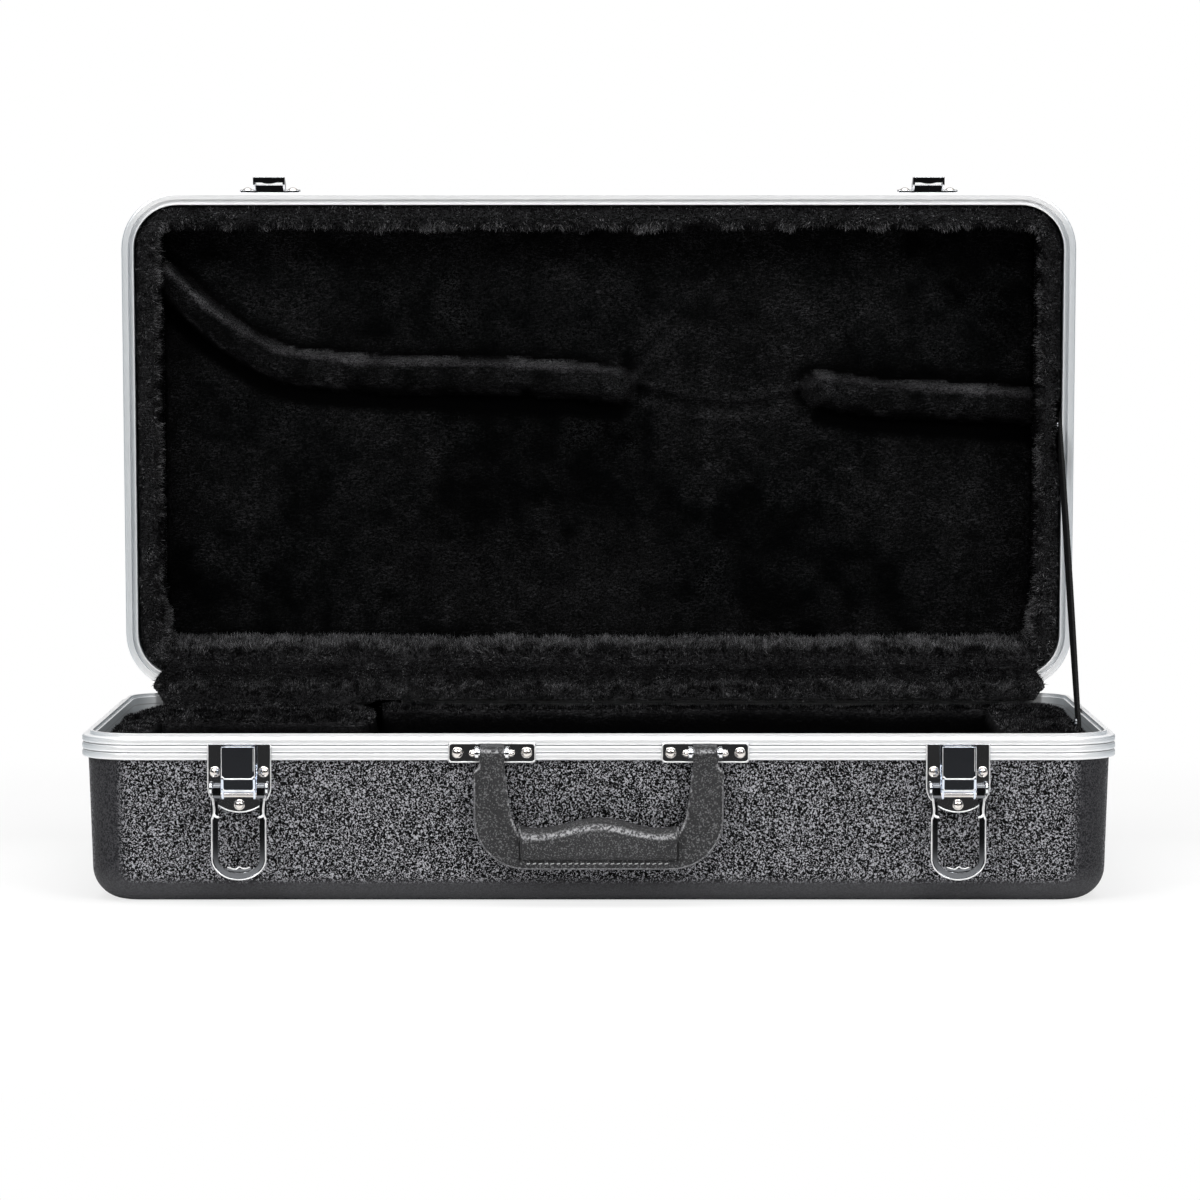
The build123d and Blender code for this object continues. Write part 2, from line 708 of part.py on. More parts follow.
def make_keeper(centre):
    """Flange on the lid's rim with a loop that hangs in front of the latch when closed."""
    z_low = base_height + keeper_flange_rise
    flange = Pos(0, z_low + keeper_flange_height / 2) * RectangleRounded(
        keeper_flange_width, keeper_flange_height, keeper_flange_round
    )
    body = slab(flange, rim_face, plate_face)
    bar_top = base_height - hook_top_drop - latch_sheet - 0.3
    bar_low = bar_top - keeper_bar_thick
    leg = Polygon(
        (plate_face - 0.1, z_low),
        (plate_face - 0.1, z_low + keeper_leg_foot),
        (plate_face + keeper_root, z_low + keeper_leg_foot),
        (keeper_loop_out, bar_top + 1.2),
        (keeper_loop_out, bar_low),
        (keeper_loop_out - 4.4, bar_low),
        (2.2, base_height - 0.5),
        align=None,
    )
    half = keeper_loop_width / 2
    body += slice_x(leg, half - latch_sheet, half) + slice_x(leg, -half, latch_sheet - half)
    bar_in = keeper_loop_out - keeper_bar_depth
    low = front_y - keeper_loop_out
    bar_outline = Polyline(
        (half, low),
        (-half, low),
        (-half, low + keeper_bar_depth),
        (-half * 0.5, low + keeper_bar_depth),
    )
    bow = ThreePointArc(
        (-half * 0.5, front_y - bar_in),
        (0, front_y - bar_in + keeper_bow),
        (half * 0.5, front_y - bar_in),
    )
    closing = Polyline((half * 0.5, front_y - bar_in), (half, front_y - bar_in), (half, low))
    bar = make_face(bar_outline + bow + closing)
    body += extrude(Pos(0, 0, bar_low) * bar, amount=keeper_bar_thick)
    root = Pos(0, z_low + 2) * Rectangle(keeper_loop_width, 4)
    body += slab(root, plate_face - 0.1, plate_face + keeper_root)
    return opened(drilled(Pos(centre, 0, 0) * body, keeper_rivets))


# ---- handle ----
def make_bracket(centre):
    """Plate on the rim with two cheeks that hold the handle's rod."""
    outline = Pos(0, handle_axis_z) * RectangleRounded(
        bracket_length, bracket_height, bracket_corner
    )
    body = slab(outline, rim_face, rim_face + bracket_sheet)
    cheek_inner = handle_arm_top / 2 + running_gap
    reach = handle_axis_out - rim_face - bracket_sheet
    eye = Pos(handle_axis_out, handle_axis_z) * Circle(bracket_eye_radius)
    foot_middle = rim_face + bracket_sheet + reach / 2 - 0.1
    foot = Pos(foot_middle, handle_axis_z) * Rectangle(reach + 0.2, 2 * bracket_eye_radius)
    cheek_outer = cheek_inner + bracket_cheek
    body += slice_x(eye + foot, cheek_inner, cheek_outer)
    body += slice_x(eye + foot, -cheek_outer, -cheek_inner)
    hole_at = (0, front_y - handle_axis_out, handle_axis_z)
    body -= rod(hole_at, 40, handle_rod_radius + seat_gap)
    return drilled(Pos(centre, 0, 0) * body, bracket_rivets)


def make_handle_rods():
    length = handle_arm_top + 2 * (running_gap + bracket_cheek + handle_rod_end)
    rods = [
        rod((x, front_y - handle_axis_out, handle_axis_z), length, handle_rod_radius)
        for x in (-handle_spacing / 2, handle_spacing / 2)
    ]
    return Compound(children=rods)


def strap_outline():
    """The handle strap's outline with the gap between its arms, as seen from the front."""
    arm = handle_spacing / 2
    top = handle_axis_z
    half = handle_half_width
    low = handle_bottom_z
    neck = top - bracket_height / 2 - strap_neck_gap
    shoulder = neck - strap_shoulder
    outer = Polygon(
        (-arm - handle_arm_top / 2, top),
        (-arm - handle_arm_top / 2, neck),
        (-half, shoulder),
        (-half, low),
        (half, low),
        (half, shoulder),
        (arm + handle_arm_top / 2, neck),
        (arm + handle_arm_top / 2, top),
        align=None,
    )
    outer = fillet(outer.vertices().group_by(Axis.Y)[0], handle_corner)
    inner_low = low + strap_bar_height
    edge = [(arm - handle_arm_top / 2, top + 1), (arm - handle_arm_top / 2, neck)]
    for inward, drop in strap_arm_inner:
        edge.append((arm - inward, top - drop))
    edge.append((grip_half_length + seat_gap, inner_low))
    mirrored = [(-x, z) for x, z in edge]
    inner = Polygon(*mirrored, *reversed(edge), align=None)
    return outer - inner


def make_handle_strap():
    half = handle_strap_thick / 2
    body = slab(strap_outline(), handle_axis_out - half, handle_axis_out + half)
    for x in (-handle_spacing / 2, handle_spacing / 2):
        middle = (x, front_y - handle_axis_out, handle_axis_z)
        body += rod(middle, handle_arm_top, handle_barrel_radius)
    middle = (0, front_y - handle_axis_out, handle_axis_z)
    return body - rod(middle, case_width, handle_rod_radius + handle_rod_play)


def make_grip():
    """Moulded grip round the strap's lower bar, with a finger wave along its top."""
    low = handle_bottom_z + grip_low
    half = grip_half_length
    rise = handle_bottom_z + grip_end_rise
    wave = Spline(
        (-half, rise),
        (-half * 0.7, rise - grip_dip),
        (0, rise + grip_crest),
        (half * 0.7, rise - grip_dip),
        (half, rise),
    )
    sides = Polyline((half, rise), (half, low), (-half, low), (-half, rise))
    outline = make_face(wave + sides)
    body = slab(outline, handle_axis_out - grip_thick / 2, handle_axis_out + grip_thick / 2)
    long_edges = body.edges().filter_by(lambda e: e.length > grip_half_length * 1.5)
    body = fillet(long_edges, grip_round)
    slot_half = handle_strap_thick / 2 + seat_gap
    slot_top = handle_bottom_z + strap_bar_height + seat_gap
    middle_y = front_y - handle_axis_out
    return body - block(-100, 100, middle_y - slot_half, middle_y + slot_half, 0, slot_top)


# ---- stay strap and hinge flap ----
def stay_lid_end():
    """Stay strap's lid anchor with the lid open, as Y and Z."""
    turn = radians(open_angle)
    y, z = -stay_lid_reach, stay_drop
    return hinge_y + y * cos(turn) + z * sin(turn), base_height - y * sin(turn) + z * cos(turn)


def make_stay_strap():
    y_high, z_high = stay_lid_end()
    y_low, z_low = stay_base_y, base_height - stay_drop
    length = hypot(y_high - y_low, z_high - z_low) + stay_width
    slope = degrees(atan2(z_high - z_low, y_high - y_low))
    band = Rot(0, 0, slope) * Rectangle(length, stay_width)
    band = Pos((y_low + y_high) / 2, (z_low + z_high) / 2) * band
    for y, z in ((y_low, z_low), (y_high, z_high)):
        band -= Pos(y, z) * Circle(rivet_radius + seat_gap)
    return extrude(across(stay_x - stay_thick / 2) * band, amount=stay_thick)


def stay_anchor(place):
    (x, y, z), direction, grip = place
    middle = (x + stay_washer_thick / 2, y, z)
    washer = rod(middle, stay_washer_thick, stay_washer_radius)
    return rivet(place[0], direction, grip) + washer


def make_hinge_flap():
    """Plush flap from the back pad up over the hinge gap to the lid's lip. Its ends turn with the
    corners of the case."""
    pad_top = base_height - back_pad_drop
    lean = cos(radians(open_angle))
    start = (back_y - flap_overlap, pad_top + flap_thick / 2 + lining_gap)
    over_tongue = (back_y - flap_bend_in, base_height + tongue_height + flap_bend_rise)
    foot = (hinge_y - flap_foot_in, base_height + flap_foot_rise)
    head = (hinge_y - flap_head_in - lean * flap_head_rise, base_height + flap_head_rise)
    route = FilletPolyline(start, over_tongue, foot, head, radius=[flap_bend, flap_bend])
    band = trace(route, flap_thick)
    flap = extrude(across(-flap_half_length) * band, amount=2 * flap_half_length)
    turn_y = back_y - corner_radius
    for end in (-1, 1):
        turn_axis = Axis((end * flap_half_length, turn_y, 0), (0, 0, -end))
        flap += revolve(across(end * flap_half_length) * band, turn_axis, flap_end_turn)
    return flap


# ---- write one file per node ----
nodes = {
    "base_shell": make_base_shell(),
    "base_rim": make_base_rim(),
    "lid_shell": make_lid_shell(),
    "lid_rim": make_lid_rim(),
    "base_floor_pad": make_floor_pad(),
    "front_bolster_left": make_bolster_left(),
    "front_bolster_right": make_bolster_right(),
    "valve_rest_pad": make_valve_rest(),
    "left_end_pad": make_left_pad(),
    "right_end_block": make_right_block(),
    "mouthpiece_block": make_mouthpiece_block(),
    "back_wall_pad": make_back_pad(),
    "well_divider": make_divider(),
    "lid_wall_pad": make_lid_wall_pad(),
    "lid_ceiling_pad": make_lid_ceiling_pad(),
    "lid_roll_left": make_roll(roll_left_points, -1),
    "lid_roll_right": make_roll(roll_right_points, 1),
    "hinge_pins": make_hinge_pins(),
    "hinge_rivets_base": rivet_group(hinge_rivets_low),
    "hinge_rivets_lid": opened(rivet_group(hinge_rivets_high)),
    "latch_rivets": rivet_group(latch_rivets),
    "keeper_rivets": opened(rivet_group(keeper_rivets)),
    "handle_bracket_rivets": rivet_group(bracket_rivets),
    "handle_rods": make_handle_rods(),
    "handle_strap": make_handle_strap(),
    "handle_grip": make_grip(),
    "stay_strap": make_stay_strap(),
    "stay_anchor_base": stay_anchor(stay_base_rivet),
    "stay_anchor_lid": opened(stay_anchor(stay_lid_rivet)),
    "hinge_flap": make_hinge_flap(),
}
for name, index in (("left", 0), ("right", 1)):
    nodes[f"hinge_leaf_base_{name}"] = make_hinge_leaf(hinge_centres[index], False)
    nodes[f"hinge_leaf_lid_{name}"] = make_hinge_leaf(hinge_centres[index], True)
    nodes[f"latch_plate_{name}"] = make_latch_plate(latch_centres[index])
    nodes[f"latch_bail_{name}"] = make_bail(latch_centres[index])
    nodes[f"latch_crank_pin_{name}"] = make_crank_pin(latch_centres[index])
    nodes[f"latch_hook_{name}"] = make_hook(latch_centres[index])
    nodes[f"keeper_{name}"] = make_keeper(latch_centres[index])
    nodes[f"handle_bracket_{name}"] = make_bracket((index - 0.5) * handle_spacing)

os.makedirs("parts", exist_ok=True)
for name, solid in nodes.items():
    export_step(solid, f"parts/{name}.step")
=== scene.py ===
import math
from fnmatch import fnmatch

import bmesh
import bpy
import numpy as np
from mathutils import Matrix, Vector


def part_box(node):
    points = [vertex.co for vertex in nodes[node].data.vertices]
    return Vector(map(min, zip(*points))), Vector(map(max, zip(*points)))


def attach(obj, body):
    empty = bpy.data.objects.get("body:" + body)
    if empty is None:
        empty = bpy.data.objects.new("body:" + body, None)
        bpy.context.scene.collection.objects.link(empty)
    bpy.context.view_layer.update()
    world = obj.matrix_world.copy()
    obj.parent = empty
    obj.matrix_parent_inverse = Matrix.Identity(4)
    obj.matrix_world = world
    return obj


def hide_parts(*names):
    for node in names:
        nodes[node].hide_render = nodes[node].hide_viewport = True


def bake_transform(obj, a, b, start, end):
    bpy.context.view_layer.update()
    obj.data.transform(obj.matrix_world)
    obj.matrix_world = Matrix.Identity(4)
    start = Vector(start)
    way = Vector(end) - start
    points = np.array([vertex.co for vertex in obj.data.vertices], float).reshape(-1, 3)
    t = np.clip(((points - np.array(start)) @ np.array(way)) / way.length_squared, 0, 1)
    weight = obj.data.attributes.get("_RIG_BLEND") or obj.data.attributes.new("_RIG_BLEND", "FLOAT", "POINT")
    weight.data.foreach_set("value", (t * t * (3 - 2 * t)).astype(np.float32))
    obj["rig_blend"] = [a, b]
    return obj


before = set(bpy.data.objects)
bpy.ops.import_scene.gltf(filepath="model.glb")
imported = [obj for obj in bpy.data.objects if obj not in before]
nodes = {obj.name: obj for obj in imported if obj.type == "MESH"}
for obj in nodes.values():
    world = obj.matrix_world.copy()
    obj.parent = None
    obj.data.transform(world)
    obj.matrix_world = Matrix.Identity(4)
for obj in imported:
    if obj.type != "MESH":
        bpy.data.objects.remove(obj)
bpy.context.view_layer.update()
scene = bpy.context.scene

# ---- the case's own sizes, in millimetres ----
OPEN = math.radians(85.4)  # how far the lid stands open
HINGE_Y = 149.8
PARTING_Z = 89.3  # where base and lid meet
PARTING_GAP = 0.15  # between the two when closed
FRONT_Y = -146.5  # the base rim's front face
# in the lid, s runs from the hinge axis to the front and h up from the parting plane
LINING_X = 271.7  # the lining's outer faces
LINING_BACK_S = 10.6
LINING_FRONT_S = 289.0
CORNER = 25.7
INNER_CORNER = 9.0
LIP = 13.0  # the wall pad's thickness
BACK_LIP = 15.0
CEILING = 45.0  # the ceiling pad's face
STAY_S, STAY_H = 158.0, 6.6  # the stay strap's rivet in the lid
NOTCH_S = 156.0  # the wall pad gives way to the strap here
NOTCH_X = 266.8


def lid_point(x, s, h):
    """Points of the lid, x, distance from the hinge axis and height over the parting plane, as they
    stand with the lid open, in metres."""
    x, s, h = np.broadcast_arrays(x, s, h)
    h = h + PARTING_GAP
    y = HINGE_Y - s * math.cos(OPEN) + h * math.sin(OPEN)
    z = PARTING_Z + s * math.sin(OPEN) + h * math.cos(OPEN)
    return np.stack([x, y, z], -1) / 1000


def lid_spot(points):
    """x, s and h of points in metres, and how far inside the lining's outer faces they are. This h
    counts from the base's parting plane, so it is PARTING_GAP more than lid_point's."""
    x, y, z = (points * 1000).T
    s = (HINGE_Y - y) * math.cos(OPEN) + (z - PARTING_Z) * math.sin(OPEN)
    h = (y - HINGE_Y) * math.sin(OPEN) + (z - PARTING_Z) * math.cos(OPEN)
    edge = np.minimum(LINING_X - abs(x), np.minimum(s - LINING_BACK_S, LINING_FRONT_S - s))
    return x, s, h, edge


# ---- noise, the same on every run, and the shapes of soft changes ----
PRIMES = (374761393, 668265263, 974634777)  # they mix a lattice point into a number
MIXER = 1274126177
LOW_32, LOW_16 = 0xFFFFFFFF, 0xFFFF


def lattice(points, cell, seed):
    """Smooth noise from -1 to 1 whose features are about `cell` in size."""
    p = np.asarray(points, float) / cell + 31.7 * seed
    low = np.floor(p).astype(np.int64)
    f = p - low
    f = f * f * (3 - 2 * f)
    total = np.zeros(p.shape[:-1])
    for corner in np.ndindex(2, 2, 2):
        i = low + np.array(corner)
        n = sum(i[..., axis] * prime for axis, prime in enumerate(PRIMES)) & LOW_32
        n = ((n ^ (n >> 13)) * MIXER) & LOW_32
        value = ((n ^ (n >> 16)) & LOW_16) / (LOW_16 / 2) - 1
        weight = np.ones(p.shape[:-1])
        for axis in range(3):
            weight = weight * (f[..., axis] if corner[axis] else 1 - f[..., axis])
        total += weight * value
    return total


def layered(points, cell, seed, layers=3):
    """Noise with finer layers added, each half the size and strength of the last."""
    total = 0
    for index in range(layers):
        total = total + lattice(points, cell / 2**index, seed + index) / 2**index
    return total / 1.6


def ramped(value, start, width):
    """0 at `start` and 1 from `start + width` on; with a negative width it falls instead."""
    return np.clip((value - start) / width, 0, 1)


def peak(value, centre, width):
    """1 at `centre`, falling softly to 0 on both sides."""
    return np.exp(-(((value - centre) / width) ** 2))


# ---- meshes ----
def new_object(name, data):
    piece = bpy.data.objects.new(name, data)
    scene.collection.objects.link(piece)
    return piece


def shade_smooth(piece):
    faces = piece.data.polygons
    faces.foreach_set("use_smooth", [True] * len(faces))


def mesh_object(name, points, faces, smooth=True):
    mesh = bpy.data.meshes.new(name)
    mesh.from_pydata([tuple(p) for p in points], [], [tuple(f) for f in faces])
    mesh.validate()
    mesh.update()
    piece = new_object(name, mesh)
    if smooth:
        shade_smooth(piece)
    return piece


def grid_faces(rows, columns, wrap_rows=False, wrap_columns=False, offset=0):
    r = np.arange(rows if wrap_rows else rows - 1)
    c = np.arange(columns if wrap_columns else columns - 1)
    r, c = np.meshgrid(r, c, indexing="ij")
    r1, c1 = (r + 1) % rows, (c + 1) % columns
    corners = [r * columns + c, r1 * columns + c, r1 * columns + c1, r * columns + c1]
    return (np.stack(corners, -1).reshape(-1, 4) + offset).tolist()


def tube_faces(rows, columns, offset=0):
    """A closed tube: its skin and its two flat ends."""
    last = offset + (rows - 1) * columns
    ends = [list(range(offset, offset + columns))[::-1], list(range(last, last + columns))]
    return grid_faces(rows, columns, wrap_columns=True, offset=offset) + ends


def border_of(grid):
    """The indices round the edge of a grid, as a loop."""
    return np.concatenate([grid[:-1, 0], grid[-1, :-1], grid[:0:-1, -1], grid[0, :0:-1]])


def read(items, key, width, kind=float):
    values = np.empty(len(items) * width, kind)
    items.foreach_get(key, values)
    return values.reshape(-1, width)


def arrays(piece):
    """Vertices, vertex normals and triangles of a mesh object, as numpy."""
    mesh = piece.data
    mesh.calc_loop_triangles()
    points = read(mesh.vertices, "co", 3)
    normals = read(mesh.vertex_normals, "vector", 3)
    return points, normals, read(mesh.loop_triangles, "vertices", 3, np.int32)


def move_vertices(piece, points):
    piece.data.vertices.foreach_set("co", np.asarray(points, float).ravel())
    piece.data.update()


def unit(v):
    return v / np.maximum(np.linalg.norm(v, axis=-1, keepdims=True), 1e-12)


def set_painted_light(piece, values):
    """Painted light on the pile at each point, 0 to 1, where the pile opens and light falls on it; the plush
    material reads it.
    """
    known = piece.data.attributes
    attribute = known.get("painted_light") or known.new("painted_light", "FLOAT", "POINT")
    attribute.data.foreach_set("value", np.asarray(values, np.float32))


def fill_end(items, key, width, kind, values):
    """Sets one property of the items that were added last."""
    whole = read(items, key, width, kind)
    whole[-len(values) :] = values.reshape(-1, width)
    items.foreach_set(key, whole.ravel())


def add_triangles(mesh, points):
    """Adds loose triangles to a mesh, three points each."""
    start, loops, count = len(mesh.vertices), len(mesh.loops), len(points) // 3
    mesh.vertices.add(3 * count)
    mesh.loops.add(3 * count)
    mesh.polygons.add(count)
    fill_end(mesh.vertices, "co", 3, float, points)
    fill_end(mesh.loops, "vertex_index", 1, np.int32, start + np.arange(3 * count))
    fill_end(mesh.polygons, "loop_start", 1, np.int32, loops + 3 * np.arange(count))
    mesh.update(calc_edges=True)


SKIN_PAINTED_LIGHT = 0.15  # painted light of the surface between the blades, beside the blades' own
ROOT_DEPTH = 0.0006  # the blades' roots under the surface
ROOT_PAINTED_LIGHT = 0.12


def pile(piece, count, length, width, nap, seed, open_and_lit_at, keep=None, hold=None):
    """Adds plush pile to a piece: `count` thin blades that lean along `nap` in clumps.
    `open_and_lit_at` gives, for points and normals, how far the pile opens there and its painted light, 0 to
    1.
    `keep` picks the triangles that carry pile. `hold` moves the blades' points to where the closed case has
    room."""
    rng = np.random.default_rng(seed)
    points, normals, triangles = arrays(piece)
    surface = open_and_lit_at(points, normals)
    if keep is not None:
        triangles = triangles[keep(points[triangles].mean(1), normals[triangles].mean(1))]
    a, b, c = (points[triangles[:, i]] for i in range(3))
    area = np.linalg.norm(np.cross(b - a, c - a), axis=1)
    area = area * (0.4 + 2.2 * surface[triangles].mean(1))
    pick = rng.choice(len(triangles), count, p=area / area.sum())
    u, v = rng.random((2, count))
    flip = u + v > 1
    u[flip], v[flip] = 1 - u[flip], 1 - v[flip]
    weights = np.stack([1 - u - v, u, v], 1)
    corners = triangles[pick]
    root = (points[corners] * weights[..., None]).sum(1)
    normal = unit((normals[corners] * weights[..., None]).sum(1))
    open_and_lit = (surface[corners] * weights).sum(1)
    clump = np.stack([layered(root, 0.0075, seed + 40 + i, 2) for i in range(3)], 1)
    direction = normal + 0.7 * np.array(nap) + 1.2 * clump + 0.3 * rng.standard_normal((count, 3))
    direction = unit(direction)
    outward = (direction * normal).sum(1, keepdims=True)
    direction = unit(direction + normal * np.maximum(0.25 - outward, 0))
    side = unit(np.cross(direction, rng.standard_normal((count, 3)))) * width / 2
    reach = length * (0.55 + 0.6 * rng.random((count, 1)))
    reach = reach * (0.6 + 0.8 * np.minimum(open_and_lit, 1)[:, None])
    root = root - normal * ROOT_DEPTH
    blades = np.stack([root - side, root + side, root + direction * reach], 1).reshape(-1, 3)
    if hold is not None:
        blades = hold(blades)
    tuft = np.clip(0.65 + 2.0 * layered(root, 0.0045, seed + 90, 2), 0.05, 1.6)
    bright = 0.22 + 4.6 * rng.random(count) ** 4
    # painted light carried by each blade: low at its roots, highest at its tip
    blade_light = np.stack([open_and_lit * ROOT_PAINTED_LIGHT, open_and_lit * ROOT_PAINTED_LIGHT, open_and_lit * tuft * bright], 1)
    add_triangles(piece.data, blades)
    set_painted_light(piece, np.clip(np.concatenate([surface * SKIN_PAINTED_LIGHT, blade_light.ravel()]), 0, 1))


def drop_surface(piece, count):
    """Leaves only the blades of a pile, without the surface they were grown on."""
    tool = bmesh.new()
    tool.from_mesh(piece.data)
    tool.verts.ensure_lookup_table()
    bmesh.ops.delete(tool, geom=tool.verts[:count], context="VERTS")
    tool.to_mesh(piece.data)
    tool.free()


# ---- materials ----
class Nodes:
    """Short way to write a node tree."""

    def __init__(self, tree):
        self.tree = tree
        coordinates = self.node("TexCoord").outputs
        self.place = coordinates["Object"]
        self.normal = coordinates["Normal"]
        self.toward = coordinates["Generated"]

    def put(self, socket, value):
        if isinstance(value, bpy.types.NodeSocket):
            self.tree.links.new(value, socket)
        else:
            socket.default_value = value

    def node(self, kind, inputs=None, **settings):
        node = self.tree.nodes.new("ShaderNode" + kind)
        for key, value in settings.items():
            setattr(node, key, value)
        for key, value in (inputs or {}).items():
            self.put(node.inputs[key], value)
        return node

    def split(self, vector):
        return self.node("SeparateXYZ", {"Vector": vector}).outputs

    def noise(self, scale, detail=2.0, rough=0.5, place=None, distortion=0.0):
        inputs = {"Vector": place or self.place, "Scale": scale, "Detail": detail}
        inputs.update({"Roughness": rough, "Distortion": distortion})
        return self.node("TexNoise", inputs).outputs["Fac"]

    def stretched(self, scale):
        return self.node("Mapping", {"Vector": self.place, "Scale": scale}).outputs["Vector"]

    def stripes(self, scale, direction, distortion=0.0):
        inputs = {"Vector": self.place, "Scale": scale, "Distortion": distortion}
        return self.node("TexWave", inputs, bands_direction=direction).outputs["Fac"]

    def ramp(self, value, *stops):
        """Colours along a value; a colour that is one number is grey."""
        node = self.node("ValToRGB", {"Fac": value})
        elements = node.color_ramp.elements
        while len(elements) < len(stops):
            elements.new(0.5)
        for element, (position, colour) in zip(elements, stops):
            element.position = position
            if isinstance(colour, (int, float)):
                colour = (colour, colour, colour)
            element.color = (*colour, 1)
        return node.outputs["Color"]

    def fade(self, value, low, high, first, last):
        """Goes smoothly from `first` to `last` as the value goes from `low` to `high`."""
        inputs = {"Value": value, "From Min": low, "From Max": high, "To Min": first, "To Max": last}
        return self.node("MapRange", inputs, interpolation_type="SMOOTHSTEP").outputs["Result"]

    def math(self, operation, a, b=0.0):
        return self.node("Math", {0: a, 1: b}, operation=operation).outputs[0]

    def blend(self, amount, a, b):
        return self.node("MixRGB", {"Fac": amount, "Color1": a, "Color2": b}).outputs["Color"]

    def mix(self, amount, a, b):
        return self.node("MixShader", {"Fac": amount, 1: a, 2: b}).outputs[0]

    def light(self, kind, colour, strength):
        return self.node(kind, {"Color": colour, "Strength": strength}).outputs[0]

    def bump(self, height, distance, strength=1.0, normal=None):
        inputs = {"Height": height, "Distance": distance, "Strength": strength}
        if normal is not None:
            inputs["Normal"] = normal
        return self.node("Bump", inputs).outputs["Normal"]

    def edges(self, radius):
        return self.node("Bevel", {"Radius": radius}, samples=6).outputs["Normal"]


class Surface(Nodes):
    """A material around the Principled shader."""

    def __init__(self, name):
        self.material = bpy.data.materials.new(name)
        self.material.use_nodes = True
        super().__init__(self.material.node_tree)
        self.shader = self.tree.nodes["Principled BSDF"]
        self.output = self.tree.nodes["Material Output"]

    def set(self, **values):
        """Sets the shader's sockets and gives back the material."""
        for key, value in values.items():
            self.put(self.shader.inputs[key.replace("_", " ")], value)
        return self.material


def shell_material():
    """Black moulded plastic with a pebble grain: on the flats its high points carry painted glints, on the
    radii it stays soft and dark without them; a band of painted light runs along the foot.
    """
    m = Surface("moulded_grain")
    broad = m.noise(1110, 0.4, 0.5, distortion=1.1)
    fine = m.noise(2100, 2.0, 0.5)
    parts = [m.math("ABSOLUTE", part) for part in m.split(m.normal)]
    straight = m.math("MAXIMUM", m.math("MAXIMUM", parts[0], parts[1]), parts[2])
    # painted glints: the grain of the flat faces is painted with bright specks, the radii's grain is not
    flat = m.ramp(straight, (0.90, 0.0), (0.985, 1.0))
    glinting_grain = m.ramp(broad, (0.537, (0.0004, 0.0004, 0.0006)), (0.610, (0.350, 0.350, 0.372)))
    soft = m.ramp(broad, (0.44, (0.014, 0.014, 0.016)), (0.60, (0.050, 0.050, 0.054)))
    # painted light: the grain is painted lighter along the foot of the shell
    foot_light = m.ramp(m.split(m.place)["Z"], (0.002, 0.55), (0.020, 0.0))
    soft = m.blend(foot_light, soft, (0.110, 0.110, 0.116, 1))
    m.set(Base_Color=m.blend(flat, soft, glinting_grain))
    height = m.math("ADD", broad, m.math("MULTIPLY", fine, 0.3))
    patches = m.noise(14, 3.0, 0.6)
    m.set(Roughness=m.ramp(patches, (0.35, 0.40), (0.65, 0.5)))
    return m.set(Specular_IOR_Level=0.06, Normal=m.bump(height, 0.0008, 0.7))


BEAD_PITCH = 0.004
BEADS_HEIGHT = 0.0105


def rim_material(name, turned, metal, shaded_ends):
    """Satin anodised aluminium drawn along its length, with painted shade in the grooves between its beads,
    on its faces turned to the sides and, as much as `shaded_ends` asks, towards its ends.
    `turned` is how far the rim is turned about X from lying flat, in radians."""
    m = Surface(name)
    streaks = m.noise(1.0, 4.0, 0.6, m.stretched((60, 60, 1500)))
    marks = m.noise(35, 5.0, 0.65)
    place = m.split(m.place)
    y = m.math("SUBTRACT", place["Y"], HINGE_Y / 1000)
    z = m.math("SUBTRACT", place["Z"], PARTING_Z / 1000)
    y, z = m.math("MULTIPLY", y, math.sin(turned)), m.math("MULTIPLY", z, math.cos(turned))
    over = m.math("ABSOLUTE", m.math("ADD", y, z))
    # each groove is a whole number of bead pitches over the parting plane
    near = m.math("MULTIPLY", m.math("PINGPONG", over, BEAD_PITCH / 2), 1000)
    inside = m.math("GREATER_THAN", over, BEAD_PITCH / 2)
    inside = m.math("MULTIPLY", inside, m.math("LESS_THAN", over, BEADS_HEIGHT))
    # painted shade: the grooves between the beads are painted darker
    groove_shade = m.math("MULTIPLY", m.ramp(near, (0.15, 1.0), (0.42, 0.0)), inside)
    satin_and_shade = m.ramp(marks, (0.3, (0.90, 0.905, 0.91)), (0.7, (0.95, 0.95, 0.955)))
    # painted shade: faces turned to the sides are painted a darker blue-grey
    side_shade = m.ramp(m.math("ABSOLUTE", m.split(m.normal)["X"]), (0.35, 0.0), (0.95, 1.0))
    satin_and_shade = m.blend(side_shade, satin_and_shade, (0.60, 0.64, 0.67, 1))
    # painted shade: towards its ends the rim is painted a darker blue-grey
    ends = m.ramp(m.math("ABSOLUTE", place["X"]), (0.266, 0.0), (0.280, shaded_ends))
    satin_and_shade = m.blend(ends, satin_and_shade, (0.50, 0.54, 0.57, 1))
    m.set(Base_Color=m.blend(groove_shade, satin_and_shade, (0.46, 0.47, 0.48, 1)))
    m.set(Metallic=metal, Roughness=m.ramp(streaks, (0.3, 0.30), (0.7, 0.40)))
    return m.set(Normal=m.bump(streaks, 0.00004, 0.5, m.edges(0.0003)))


def chrome_material(name="chrome", rough=0.05, tint=(0.78, 0.79, 0.81)):
    """Plated steel, with a slight haze and waves that bend its reflections."""
    m = Surface(name)
    haze = m.noise(45, 4.0, 0.6)
    waves = m.noise(120, 1.0, 0.4)
    m.set(Base_Color=(*tint, 1))
    m.set(Metallic=1.0, Roughness=m.ramp(haze, (0.35, rough), (0.7, rough * 2.2)))
    return m.set(Normal=m.bump(waves, 0.00005, 0.25, m.edges(0.00045)))


